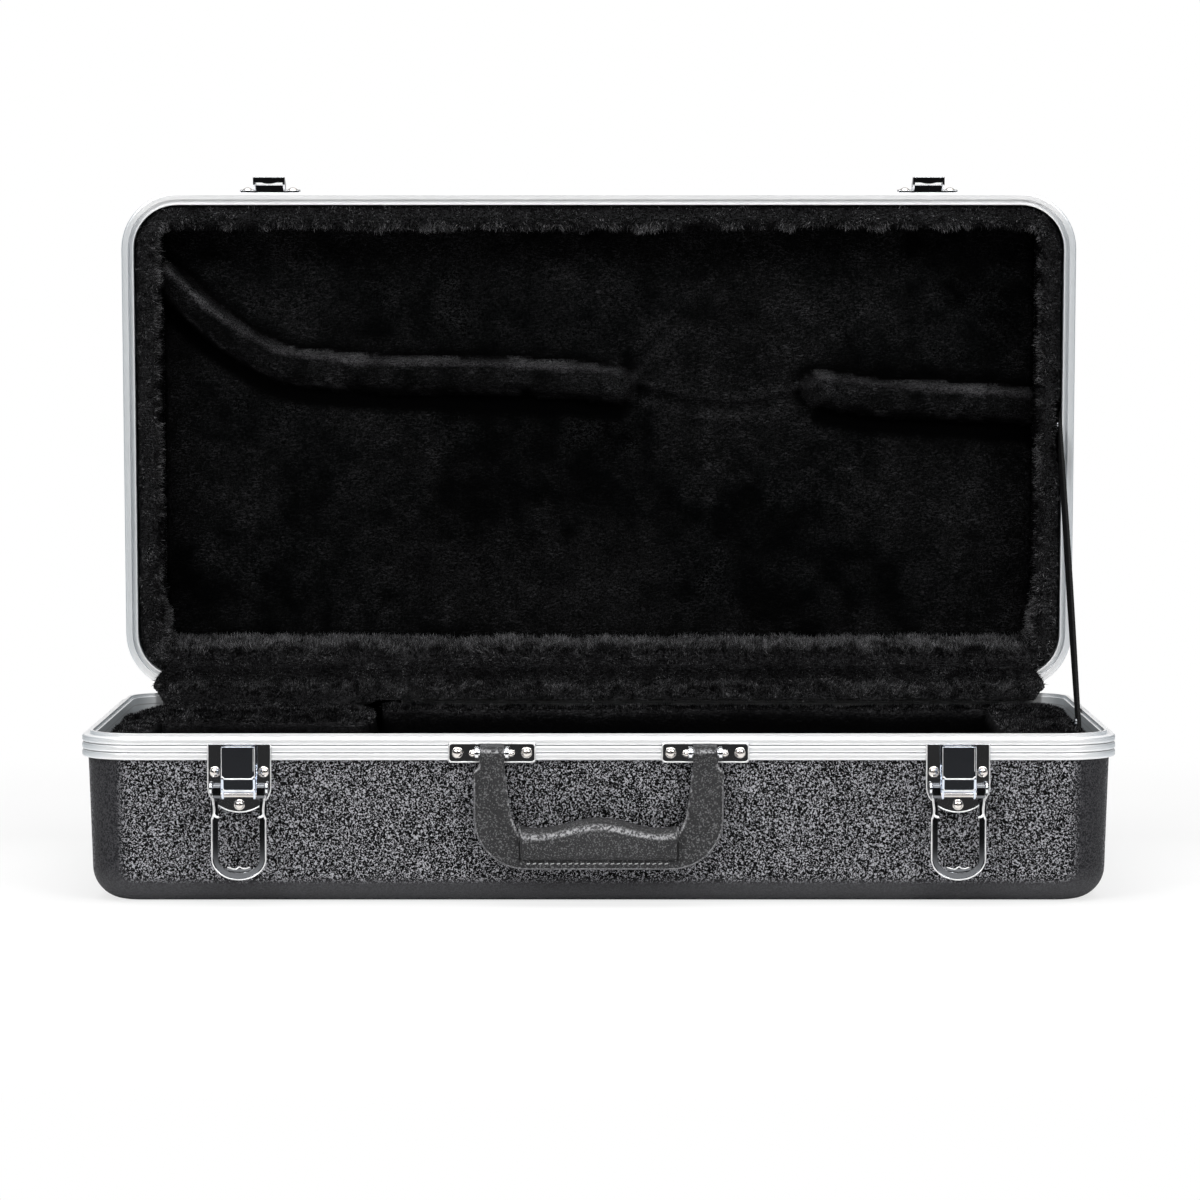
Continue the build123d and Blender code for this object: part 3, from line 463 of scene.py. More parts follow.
def bright_edge_material():
    """Rolled edges and bent wire, painted a light half-metallic grey: a painted highlight that catches light
    all round.
    """
    m = Surface("painted_highlight_edge")
    glint_patches = m.noise(260, 3.0, 0.6)
    # painted highlight: a patchy light grey that shows as a bright line from every side
    m.set(Base_Color=m.ramp(glint_patches, (0.32, (0.62, 0.62, 0.63)), (0.6, (0.97, 0.97, 0.97))))
    m.set(Metallic=0.45, Roughness=m.ramp(glint_patches, (0.3, 0.30), (0.7, 0.16)))
    return m.set(Normal=m.bump(glint_patches, 0.00008, 0.4))


def vinyl_material(name="handle_vinyl", base=0.019, specks=0.12):
    """Charcoal handle vinyl: a fine leather grain whose high points are rubbed lighter, and a painted
    highlight along the folds that face up and forward."""
    m = Surface(name)
    cells = {"Vector": m.place, "Scale": 1300.0}
    cells = m.node("TexVoronoi", cells, feature="DISTANCE_TO_EDGE").outputs["Distance"]
    creases = m.ramp(cells, (0.0, 0.0), (0.22, 1.0))
    fine = m.noise(1500, 2.0, 0.5)
    rubbed = m.ramp(m.noise(1250, 0.5, 0.4, distortion=0.4), (0.54, 0.0), (0.68, 1.0))
    worn = m.noise(30, 4.0, 0.6)
    low, high = base * 0.8, base * 1.25
    ground = m.ramp(worn, (0.3, (low, low, low * 1.06)), (0.75, (high, high, high * 1.06)))
    plain = m.blend(rubbed, ground, (specks, specks, specks * 1.03, 1))
    facing = m.split(m.normal)
    # painted highlight: faces that turn up and forward are painted with a light speckled sheen
    up = m.ramp(facing["Z"], (0.03, 0.0), (0.16, 1.0), (0.42, 0.9), (0.62, 0.0))
    highlight_mask = m.math("MULTIPLY", up, m.math("LESS_THAN", facing["Y"], 0.0))
    painted_shine = m.noise(900, 1.0, 0.5)
    painted_shine = m.ramp(painted_shine, (0.40, (0.050, 0.050, 0.053)), (0.62, (0.42, 0.42, 0.43)))
    m.set(Base_Color=m.blend(highlight_mask, plain, painted_shine))
    m.set(Roughness=m.ramp(fine, (0.3, 0.34), (0.7, 0.50)))
    m.set(Specular_IOR_Level=0.3)
    height = m.math("ADD", creases, m.math("MULTIPLY", fine, 0.6))
    return m.set(Normal=m.bump(height, 0.00030, 0.8))


def thread_material():
    """Pale twisted thread."""
    m = Surface("stitching")
    twist = m.stripes(900.0, "DIAGONAL", 1.0)
    m.set(Base_Color=m.ramp(twist, (0.0, (0.20, 0.20, 0.205)), (1.0, (0.72, 0.72, 0.73))))
    return m.set(Roughness=0.7, Normal=m.bump(twist, 0.0001, 0.6))


def plush_material():
    """Black plush: dark at the roots, with painted light on the ends of the pile where it opens and faces
    the light.
    """
    m = Surface("black_plush")
    fibres = m.noise(1.0, 2.0, 0.65, m.stretched((430, 1250, 1250)), distortion=1.3)
    crossing = m.noise(1.0, 1.5, 0.6, m.stretched((1500, 900, 620)), distortion=1.8)
    broad = m.ramp(m.noise(15, 3.0, 0.55), (0.30, 0.35), (0.68, 1.0))
    clumps = m.ramp(m.noise(105, 2.0, 0.6), (0.38, 0.2), (0.64, 1.0))
    painted_light = m.node("Attribute", attribute_name="painted_light").outputs["Fac"]
    strokes = m.ramp(fibres, (0.55, 0.0), (0.645, 1.0))
    strokes = m.math("MULTIPLY", strokes, m.math("MULTIPLY", broad, clumps))
    strokes = m.math("MULTIPLY", strokes, m.ramp(painted_light, (0.0, 0.0), (0.03, 1.0)))
    dark = m.blend(strokes, (0.0006, 0.0006, 0.0007, 1), (0.034, 0.034, 0.036, 1))
    threads = m.math("MAXIMUM", fibres, crossing)
    light = m.ramp(threads, (0.47, (0.012, 0.012, 0.0125)), (0.66, (0.460, 0.458, 0.476)))
    # painted light: the colour goes from dark roots to light fibre ends as the pile's painted light rises
    m.set(Base_Color=m.blend(painted_light, dark, light))
    return m.set(Roughness=0.8, Specular_IOR_Level=0.01, Normal=m.bump(threads, 0.0006, 0.7))


def webbing_material():
    """Black woven strap."""
    m = Surface("strap_weave")
    weave = m.math("MULTIPLY", m.stripes(330.0, "Y"), m.stripes(330.0, "Z"))
    m.set(Base_Color=m.ramp(weave, (0.0, (0.002, 0.002, 0.002)), (1.0, (0.012, 0.012, 0.013))))
    return m.set(Roughness=0.75, Specular_IOR_Level=0.15, Normal=m.bump(weave, 0.0003, 0.8))


SHELL = shell_material()
RIM = rim_material("satin_aluminium", 0.0, 0.5, 0.0)
LID_RIM = rim_material("satin_aluminium_lid", OPEN, 0.35, 0.8)
CHROME = chrome_material()
HIGHLIGHT_EDGE = bright_edge_material()
STEEL = chrome_material("hinge_steel", 0.2, (0.62, 0.62, 0.63))
VINYL = vinyl_material()
PIPING = vinyl_material("handle_edge", 0.11, 0.22)
# painted shade: chrome painted near black stands in for the dark reflections on the bails, their thumb tabs
# and the stay anchors
DARKENED_CHROME = chrome_material("bail_band_painted_dark", 0.06, (0.16, 0.165, 0.175))
NICKEL = chrome_material("warm_nickel", 0.11, (0.74, 0.70, 0.665))
HOOK = chrome_material("hook_chrome", 0.05, (0.68, 0.73, 0.82))
# painted shade: a near-black copy of the vinyl for the shade in the grip's slits
SLIT_SHADE = vinyl_material("handle_slit_shade", 0.004, 0.01)
THREAD = thread_material()
PLUSH = plush_material()
WEBBING = webbing_material()


def dress(piece, material):
    """Puts one material on every slot of a piece."""
    if not piece.material_slots:
        piece.data.materials.append(material)
    for slot in piece.material_slots:
        slot.material = material


# a node takes the first look whose pattern fits its name
LOOKS = {
    "*_shell": SHELL,
    "lid_rim": LID_RIM,
    "base_rim": RIM,
    "latch_hook_*": HOOK,
    "latch_bail_*": DARKENED_CHROME,
    "stay_anchor_*": DARKENED_CHROME,
    "*_rivets": NICKEL,
    "latch_crank_pin_*": NICKEL,
    "latch_*": CHROME,
    "keeper_*": CHROME,
    "handle_bracket_*": CHROME,
    "handle_rods": CHROME,
    "handle_*": VINYL,
    "stay_strap": WEBBING,
    "hinge_flap": PLUSH,
    "hinge_*": STEEL,
    "*": PLUSH,
}
for node_name, node in nodes.items():
    dress(node, next(look for pattern, look in LOOKS.items() if fnmatch(node_name, pattern)))


def fit(piece, material, body):
    dress(piece, material)
    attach(piece, body)


def finish_soft(piece, body, *replaced, fill=0.8):
    fit(piece, PLUSH, body)
    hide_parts(*replaced)


# ---- the lid's lining: the panel with its two rolls ----
def smooth_route(points, step=1.5):
    """Points along a smooth curve through the given ones."""
    points = np.array(points, float)
    padded = np.vstack([2 * points[0] - points[1], points, 2 * points[-1] - points[-2]])
    out = []
    for a, b, c, d in zip(padded, padded[1:], padded[2:], padded[3:]):
        count = max(2, int(np.linalg.norm(c - b) / step))
        t = np.linspace(0, 1, count, endpoint=False)[:, None]
        square = (2 * a - 5 * b + 4 * c - d) * t**2
        out.append(0.5 * (2 * b + (c - a) * t + square + (3 * b - a - 3 * c + d) * t**3))
    return np.vstack([*out, points[-1:]])


def distance_to(route, points):
    best = np.full(len(points), np.inf)
    for start in range(0, len(points), 8000):
        part = points[start : start + 8000]
        gaps = np.linalg.norm(part[:, None] - route[None], axis=2)
        best[start : start + 8000] = gaps.min(1)
    return best


# the rolls and creases over the panel, as x and s
ROLL_LEFT = [
    (-262, 244), (-253, 238), (-230, 217), (-210, 203), (-191, 193), (-171, 189),
    (-131, 186), (-92, 185), (-53, 184), (-13, 182), (12, 179.5),
]
ROLL_RIGHT = [(131, 177), (164, 172), (204, 170), (262, 166)]
CREASE_JOIN = [(14, 180), (40, 171), (75, 166), (100, 168), (130, 176)]
CREASE_UP = [(10, 184), (25, 197), (42, 213), (60, 228), (76, 242)]
ROLL_HALF = 10.2
ROLL_HEIGHT = 14.2
PANEL_X = 258.2
PANEL_LOW, PANEL_HIGH = 26.1, 275.5  # along s
PANEL_BACK = 53.0


def raise_roll(route, seed, flat, place, height, open_and_lit):
    """Raises one roll out of the panel, with painted light along its crest and its lower hem and a painted
    shadow under it.
    """
    line = smooth_route(route)
    gap = distance_to(line, flat) + 0.9 * lattice(place, 16, seed)
    across = np.clip(gap / ROLL_HALF, 0, 1)
    rounded = ROLL_HEIGHT * (1 - across**2.6) ** (1 / 2.6)
    height = np.maximum(height, rounded * (1 + 0.05 * lattice(place, 22, seed)))
    height -= 1.2 * peak(gap, 12.5, 3.5)
    height += np.where(gap < 11, 0.9 * layered(place, 7, seed + 3, 2), 0)
    wander = 1.3 * lattice(place, 9, seed + 5)
    crest = distance_to(line + np.array([0, 9.2]), flat) + wander
    hem = distance_to(line - np.array([0, 8.2]), flat) + wander
    below = distance_to(line - np.array([0, 17.5]), flat)
    body = 0.17 * np.clip(0.7 + 0.9 * layered(place, 11, seed + 6, 2), 0.1, 1.6)
    patchy = np.clip(0.8 + 0.6 * lattice(place, 18, seed + 9), 0.35, 1.2)
    tufts = np.clip(0.3 + 1.5 * layered(place, 8, seed + 12, 2), 0, 1.3)
    # painted light along the crest and on tufts of the hem, painted shade at the roll's foot, and below the
    # roll a painted shadow on the panel
    open_and_lit = np.where(gap < 11.3, body, open_and_lit * np.clip((gap - 11) / 9, 0.15, 1))
    open_and_lit = np.where(gap < 10.8, np.maximum(open_and_lit, 1.7 * patchy * peak(crest, 0, 2.2)), open_and_lit)
    open_and_lit = np.where(gap < 11.5, np.maximum(open_and_lit, 0.9 * tufts * peak(hem, 0, 1.6)), open_and_lit)
    return height, open_and_lit * (1 - np.exp(-((below / 5.6) ** 4)))


def rounded_plan(x, s):
    """Draws the corners of the panel's grid onto arcs, as the wall pad is round there."""
    middle = (PANEL_LOW + PANEL_HIGH) / 2
    reach = (PANEL_HIGH - PANEL_LOW) / 2 - INNER_CORNER
    off_x = np.sign(x) * np.maximum(abs(x) - (PANEL_X - INNER_CORNER), 0)
    off_s = np.sign(s - middle) * np.maximum(abs(s - middle) - reach, 0)
    both = (abs(off_x) > 0) & (abs(off_s) > 0)
    square = np.maximum(abs(off_x), abs(off_s))
    shrink = np.where(both, square / np.maximum(np.hypot(off_x, off_s), 1e-9), 1.0)
    return x - off_x + off_x * shrink, s - off_s + off_s * shrink


def lid_panel():
    """The ceiling pad with its two rolls, as one padded panel."""
    x = np.linspace(-PANEL_X, PANEL_X, 250)
    s = np.linspace(PANEL_LOW, PANEL_HIGH, 122)
    gx, gs = np.meshgrid(x, s, indexing="ij")
    x, s = gx.ravel(), gs.ravel()
    flat = np.stack([x, s], 1)
    place = np.column_stack([flat, np.zeros(len(flat))])
    height = 1.1 * layered(place, 80, 3) + 0.5 * layered(place, 14, 5)
    # painted light on the panel's pile, patchy
    open_and_lit = 0.10 + 0.10 * layered(place, 60, 13, 2) + 0.12 * layered(place, 12, 15, 2)
    open_and_lit = np.clip(open_and_lit, 0.02, 1)
    for route, seed in ((ROLL_LEFT, 7), (ROLL_RIGHT, 8)):
        height, open_and_lit = raise_roll(route, seed, flat, place, height, open_and_lit)
    for route, depth, width in ((CREASE_JOIN, 2.4, 3.0), (CREASE_UP, 1.7, 2.6)):
        gap = distance_to(smooth_route(route), flat)
        height += peak(gap, 7, 4) - depth * peak(gap, 0, width)
        # painted light along both sides of each crease
        open_and_lit += 0.16 * peak(gap, 6, 2.5) * np.clip(0.6 + lattice(place, 8, 17), 0, 1.4)
    edge = np.minimum.reduce([PANEL_X - abs(x), s - PANEL_LOW, PANEL_HIGH - s])
    height -= 2.0 * np.exp(-edge / 3.0)
    x, s = rounded_plan(x, s)
    border = border_of(np.arange(len(flat)).reshape(gx.shape))
    under = len(flat) + np.arange(len(border))
    faces = [f[::-1] for f in grid_faces(*gx.shape)]
    faces += np.stack([border, np.roll(border, -1), np.roll(under, -1), under], 1).tolist()
    faces.append(under.tolist())
    front = lid_point(x, s, CEILING - height)
    back = lid_point(x[border], s[border], PANEL_BACK)
    piece = mesh_object("lid_lining_panel", np.vstack([front, back]), faces)
    outward = np.array((0, -math.sin(OPEN), -math.cos(OPEN)))
    shown = np.concatenate([np.clip(open_and_lit, 0, 1.8), np.zeros(len(border))])
    pile(
        piece, 110000, 0.0046, 0.0009, (0.5, -0.1, -0.5), 11,
        lambda points, normals: shown,
        keep=lambda middle, normal: normal @ outward > 0.05,
    )
    finish_soft(piece, "lid", "lid_ceiling_pad", "lid_roll_left", "lid_roll_right")


# ---- the lid's lining: the wall pad with its rounded lip ----
def corner_arcs(half_x, low, high, corner, count):
    """The four round corners of a rectangle, from the one at +x and `low` on by way of `high`."""
    middle_x = half_x - corner
    centres = [(middle_x, low + corner), (middle_x, high - corner)]
    centres += [(-x, y) for x, y in centres[::-1]]
    arcs = []
    for index, (x, y) in enumerate(centres):
        turn = np.radians(90 * index - 90 + np.linspace(0, 90, count))
        arcs.append(np.stack([x + corner * np.cos(turn), y + corner * np.sin(turn)], 1))
    return arcs


def rounded_loop(half_x, low, high, corner, straight_x, straight_s, bend):
    """Closed loop in x and s, with the same number of points whatever its size."""
    arcs = corner_arcs(half_x, low, high, corner, bend)
    parts = []
    for index, arc in enumerate(arcs):
        count = straight_s if index % 2 == 0 else straight_x
        t = np.linspace(0, 1, count + 2)[1:-1, None]
        parts += [arc, arc[-1] * (1 - t) + arcs[(index + 1) % 4][0] * t]
    return np.vstack(parts)


PAD_BACK, BLADE_BACK = 0.45, 0.35  # behind the parting plane


def wall_section():
    """The wall pad's section: 0 at its outer face and 1 at its inner one, and h."""
    outer = [(0.22, 47.0), (0.13, 40.0), (0.04, 24.0), (0.03, 12.0), (0.03, 7.0)]
    turns = np.linspace(math.pi, 0, 13)
    lip = [(0.5 + 0.47 * math.cos(turn), 6.4 - 5.4 * math.sin(turn)) for turn in turns]
    inner = [(0.99, 10.0), (0.985, 14.0), (0.98, 18.0), (0.975, 22.0), (0.975, 26.0)]
    inner += [(0.98, 30.0), (0.985, 34.0), (0.99, 38.0), (0.995, 42.0), (0.98, 47.5)]
    return np.array(outer + lip + inner)


def lid_wall():
    counts = (200, 92, 18)
    outer = rounded_loop(LINING_X, LINING_BACK_S, LINING_FRONT_S, CORNER, *counts)
    low, high = LINING_BACK_S + BACK_LIP, LINING_FRONT_S - LIP
    inner = rounded_loop(LINING_X - LIP, low, high, INNER_CORNER, *counts)
    section = wall_section()
    t = section[:, 0][None, :, None]
    spots = outer[:, None] * (1 - t) + inner[:, None] * t
    h = np.broadcast_to(section[:, 1], spots.shape[:2])
    place = np.concatenate([spots, h[..., None]], 2)
    lumps = 0.7 * layered(place, 26, 21) + 0.75 * layered(place, 7, 23, 2)
    outward = spots - (outer + inner)[:, None] / 2
    outward = outward / np.maximum(np.linalg.norm(outward, axis=2, keepdims=True), 1)
    spots = spots + outward * (lumps * ramped(section[:, 0], 0.5, 0.5))[..., None]
    h = h - lumps * peak(h, 4, 8) * 0.9
    x, s = spots[..., 0], spots[..., 1]
    near = ramped(abs(s - NOTCH_S), 19, -3) * ramped(h, 18, -3)
    x = np.where((near > 0) & (x > NOTCH_X), x + (NOTCH_X - x) * near, x)
    points = lid_point(x, s, np.maximum(h, PAD_BACK)).reshape(-1, 3)
    faces = grid_faces(*h.shape, wrap_rows=True, wrap_columns=True)
    piece = mesh_object("lid_lining_wall", points, faces)

    def open_and_lit_at(points, normals):
        # painted light: the lip, the tufts along its inner edge and the band on the hinge-side wall, which
        # faces up, are painted lighter
        _, s, h, edge = lid_spot(points)
        lip = 0.30 * ramped(h, 10, -5)
        tufts = np.clip(0.35 + 1.5 * layered(points, 0.008, 63, 2), 0, 1.3)
        inner = 0.55 * peak(edge, 12.2, 2.1) * ramped(h, 15, -6) * tufts
        band = 0.95 * ramped(s, 60, -20) * ramped(h, 4, 6) * ramped(edge, 9, 3)
        patch = np.clip(0.85 + 0.35 * layered(points, 0.020, 61, 2), 0.3, 1.3)
        return np.clip((lip + band + 0.04) * patch + inner, 0.0, 1)

    def keep(middle, normal):
        x, s, h, edge = lid_spot(middle)
        notch = (abs(s - NOTCH_S) < 17) & (x > 250) & (h < 16) & (edge < 4.5)
        return ((edge > 3.2) | (h < 3.0)) & (h < 44) & ~notch & (edge > 1.2)

    def hold(blades):
        x, s, h, _ = lid_spot(blades)
        core_x = np.clip(x, CORNER - LINING_X, LINING_X - CORNER)
        core_s = np.clip(s, LINING_BACK_S + CORNER, LINING_FRONT_S - CORNER)
        off_x, off_s = x - core_x, s - core_s
        within = np.minimum(1, (CORNER - 0.2) / np.maximum(np.hypot(off_x, off_s), 1e-9))
        h = np.maximum(h - PARTING_GAP, BLADE_BACK)
        return lid_point(core_x + off_x * within, core_s + off_s * within, h)

    pile(piece, 140000, 0.0048, 0.0007, (0, -0.15, -0.15), 31, open_and_lit_at, keep, hold)
    finish_soft(piece, "lid", "lid_wall_pad")


# ---- the base's lining: padded blocks ----
def shaped(piece):
    """A piece's mesh as its modifiers make it."""
    return bpy.data.meshes.new_from_object(piece.evaluated_get(bpy.context.evaluated_depsgraph_get()))


def with_modifier(piece, name, kind, **settings):
    """Applies one modifier to a piece's mesh."""
    modifier = piece.modifiers.new(name, kind)
    for key, value in settings.items():
        setattr(modifier, key, value)
    mesh = shaped(piece)
    piece.modifiers.remove(modifier)
    piece.data = mesh


def copy_of(node, name, voxel):
    mesh = nodes[node].data.copy()
    mesh.transform(nodes[node].matrix_world)
    piece = new_object(name, mesh)
    with_modifier(piece, "even", "REMESH", mode="VOXEL", voxel_size=voxel)
    return piece


SWELL_FRAMES = 20


def inflate(piece, pressure, cap):
    """Foam under its cover: cloth with pressure, each point held to `cap` metres of movement."""
    before, normals, _ = arrays(piece)
    move_vertices(piece, before - normals * cap * 0.6)
    modifier = piece.modifiers.new("swell", "CLOTH")
    modifier.settings.use_pressure = True
    modifier.settings.uniform_pressure_force = pressure
    modifier.settings.effector_weights.gravity = 0
    modifier.point_cache.frame_start = 1
    modifier.point_cache.frame_end = SWELL_FRAMES
    for number in range(1, SWELL_FRAMES + 1):
        scene.frame_set(number)
    after = read(shaped(piece).vertices, "co", 3)
    piece.modifiers.remove(modifier)
    moved = after - before
    reach = np.linalg.norm(moved, axis=1, keepdims=True)
    move_vertices(piece, before + moved * np.minimum(1, cap / np.maximum(reach, 1e-9)))
    scene.frame_set(1)


def base_block(node, name, count, seed, voxel=0.006, swell=0.0018, fill=0.85):
    """One padded block of the base's lining, grown from its CAD solid."""
    piece = copy_of(node, name, voxel)
    low, high = (np.array(corner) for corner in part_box(node))
    if swell:
        inflate(piece, 4.0, swell)
    with_modifier(piece, "finer", "SUBSURF", levels=1)
    points, normals, _ = arrays(piece)
    lumps = 0.0007 * layered(points, 0.030, seed) + 0.0004 * layered(points, 0.008, seed + 4)
    inset, parting, rim = 0.0001, PARTING_Z / 1000, 0.003
    ceiling = min(high[2] + 0.0012, parting)
    limits = [high[0] - inset, high[1] - inset, ceiling]
    move_vertices(piece, np.clip(points + normals * lumps[:, None], low + inset, limits))
    shade_smooth(piece)

    def open_and_lit_at(points, normals):
        # painted light on the blocks' tops and the edges that turn up, and painted shade lower down the
        # blocks
        over = points[:, 2] - high[2]
        top = ramped(over, -0.012, 0.008)
        turn = peak(normals[:, 2], 0.6, 0.35)
        patch = 0.7 + 0.5 * layered(points, 0.04, seed + 9, 2)
        depth_shade = ramped(over, -0.02, 0.01)
        return np.clip((0.03 + 0.10 * top + 0.30 * turn * top) * patch * depth_shade, 0.0, 1)

    def keep(middle, normal):
        plan = middle[:, :2]
        clear = (plan > low[:2] + rim).all(1) & (plan < high[:2] - rim).all(1)
        return (normal[:, 2] > 0.35) & (clear | (middle[:, 2] > high[2] - 0.004))

    def hold(blades):
        blades[:, 2] = np.minimum(blades[:, 2], parting)
        return blades

    pile(piece, count, 0.0036, 0.0008, (0.3, -0.35, 0), seed, open_and_lit_at, keep, hold)
    finish_soft(piece, "case_base", node, fill=fill)


def gap_liner():
    """Plush glued to the rim behind the joint between the mouthpiece block and the back wall pad."""
    left, right, front, back, low, high = -138.0, -116.0, 138.3, 139.3, 62.0, 88.2
    ring = [(left, low), (right, low), (right, high), (left, high)]
    points = [(x, y, z) for y in (front, back) for x, z in ring]
    faces = [(0, 1, 2, 3), (7, 6, 5, 4)]
    faces += [(i, 4 + i, 4 + (i + 1) % 4, (i + 1) % 4) for i in range(4)]
    piece = mesh_object("base_gap_liner", np.array(points) / 1000, faces, smooth=False)
    set_painted_light(piece, np.zeros(len(points)))
    fit(piece, PLUSH, "case_base")


# ---- the flap over the hinge gap ----
FLAP_SECTION = [
    (130.4, 87.7), (135, 89.9), (139.6, 92.7), (143.6, 94.6), (146.6, 97.6), (147.1, 102.0), (146.9, 107.4),
]  # y and z, from the back wall pad up behind the lid's lining
FLAP_STEP = 0.9
FLAP_HALF = 246.0  # half its straight stretch; its ends turn round the case's corners
FLAP_CENTRE_Y = 113.5
FLAP_RADIUS = 24.0
FLAP_SWING = math.radians(33)


def hinge_flap():
    """Plush flap over the hinge gap; its ends turn with the corners of the case."""
    route = smooth_route(FLAP_SECTION, FLAP_STEP)
    count, half = len(route), FLAP_HALF
    corner = np.linspace(0, FLAP_SWING, 14)[1:] * FLAP_RADIUS
    along = np.concatenate([-half - corner[::-1], np.linspace(-half, half, 270), half + corner])
    turn = np.clip((abs(along) - half) / FLAP_RADIUS, 0, None) * np.sign(along)
    tangent = unit(np.gradient(route, axis=0))
    normal = np.stack([-tangent[:, 1], tangent[:, 0]], 1)
    gx, gt = np.meshgrid(along, np.arange(count), indexing="ij")
    place = np.stack([gx, gt * FLAP_STEP, np.zeros_like(gx)], 2)
    fade = np.sin(np.pi * np.clip(gt / (count - 1), 0, 1)) ** 0.5
    wave = (0.6 * layered(place, 34, 71) + 0.3 * layered(place, 9, 73)) * fade
    reach = half + FLAP_SWING * FLAP_RADIUS
    thick = np.minimum(1.0, np.minimum(gt + 0.4, count - 0.6 - gt) * 0.5)
    thick = thick * np.sqrt(np.clip((reach - abs(gx)) / 3.0, 0.02, 1))
    # the upper corners are rounded: towards the ends the section stops lower
    spots = gt * (1 - 0.5 * ramped(abs(gx), reach - 12, 12) ** 2)
    bent = np.stack([np.interp(spots, np.arange(count), route[:, axis]) for axis in range(2)], 2)
    front = bent + normal[None] * (wave + thick)[..., None]
    back = bent + normal[None] * (wave - thick)[..., None]
    loop = np.concatenate([front, back[:, ::-1]], 1)
    # on the left its front edge hangs a little lower
    loop[..., 1] -= 2.4 * ramped(abs(loop[..., 0] - 130), 5, -5) * ramped(-along[:, None], 131, 3)
    radius = loop[..., 0] - FLAP_CENTRE_Y
    x = np.clip(along, -half, half)[:, None] + radius * np.sin(turn)[:, None]
    y = FLAP_CENTRE_Y + radius * np.cos(turn)[:, None]
    points = np.stack([x, y, loop[..., 1]], 2) / 1000
    piece = mesh_object("hinge_flap_plush", points.reshape(-1, 3), tube_faces(*points.shape[:2]))

    def open_and_lit_at(points, normals):
        # painted light on the flap, strongest 95.5 mm up
        patch = 0.75 + 0.45 * layered(points, 0.03, 75, 2)
        return np.clip((0.34 + 0.55 * peak(points[:, 2], 0.0955, 0.0035)) * patch, 0.0, 1)

    points, normals, _ = arrays(piece)
    set_painted_light(piece, open_and_lit_at(points, normals) * SKIN_PAINTED_LIGHT)
    nap = new_object("hinge_flap_pile", piece.data.copy())
    pile(
        nap, 46000, 0.0032, 0.0007, (0.3, -0.2, -0.2), 77, open_and_lit_at,
        keep=lambda middle, normal: normal[:, 2] - normal[:, 1] > 0.3,
    )
    drop_surface(nap, len(points))
    for part in (piece, nap):
        dress(part, PLUSH)
        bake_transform(part, "case_base", "lid", start=(0, 0.1385, 0.0925), end=(0, 0.1470, 0.1020))
    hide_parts("hinge_flap")


# ---- the stay strap ----
STAY_BASE = np.array([0.0140, 0.0827])  # y and z of its rivet in the base, in metres
STAY_CORE_X, STAY_CORE_W, STAY_ROUND = 0.45, 6.45, 0.42  # its section, without its rounded edges
STAY_TAIL = 0.0325  # past each rivet, of the length between them
STAY_TWIST = math.radians(4.5)


def stay_strap():
    """Taut webbing between its two rivets, slightly twisted between them."""
    low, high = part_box("stay_strap")
    x = (low[0] + high[0]) / 2
    start = np.array([x, *STAY_BASE])
    end = lid_point(x * 1000, STAY_S, STAY_H)
    length, along = np.linalg.norm(end - start), unit(end - start)
    width = np.cross([1, 0, 0], along)
    section = []
    for side_x, side_w in ((1, 1), (-1, 1), (-1, -1), (1, -1)):
        middle = math.atan2(side_w, side_x)
        for turn in np.array([-0.35, 0, 0.35]) * math.pi / 2:
            spot = (STAY_ROUND * math.cos(middle + turn), STAY_ROUND * math.sin(middle + turn))
            section.append((side_x * STAY_CORE_X + spot[0], side_w * STAY_CORE_W + spot[1]))
    section = np.array(section) / 1000
    points = []
    for value in np.linspace(-STAY_TAIL, 1 + STAY_TAIL, 90):
        twist = -STAY_TWIST * math.sin(math.pi * np.clip(value, 0, 1)) ** 1.2
        c, d = math.cos(twist), math.sin(twist)
        a = section[:, 0] * c - section[:, 1] * d
        b = section[:, 0] * d + section[:, 1] * c
        points.append(start + along * length * value + a[:, None] * (1, 0, 0) + b[:, None] * width)
    points = np.array(points)
    piece = mesh_object("stay_webbing", points.reshape(-1, 3), tube_faces(*points.shape[:2]))
    dress(piece, WEBBING)
    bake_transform(piece, "case_base", "lid", start=tuple(start), end=tuple(end))
    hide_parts("stay_strap")


# ---- the handle ----
def soft_vinyl(node, name, smooth_steps):
    """A CAD handle piece with the rounded edges and slight unevenness of covered vinyl."""
    piece = copy_of(node, name, 0.0009)
    with_modifier(piece, "rounded", "SMOOTH", factor=0.5, iterations=smooth_steps)
    points, normals, _ = arrays(piece)
    points = points + normals * (0.00012 * layered(points, 0.012, 83))[:, None]
    low, high = (np.array(corner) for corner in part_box(node))
    move_vertices(piece, np.clip(points, low, high))
    shade_smooth(piece)
    fit(piece, VINYL, "handle")
    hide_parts(node)


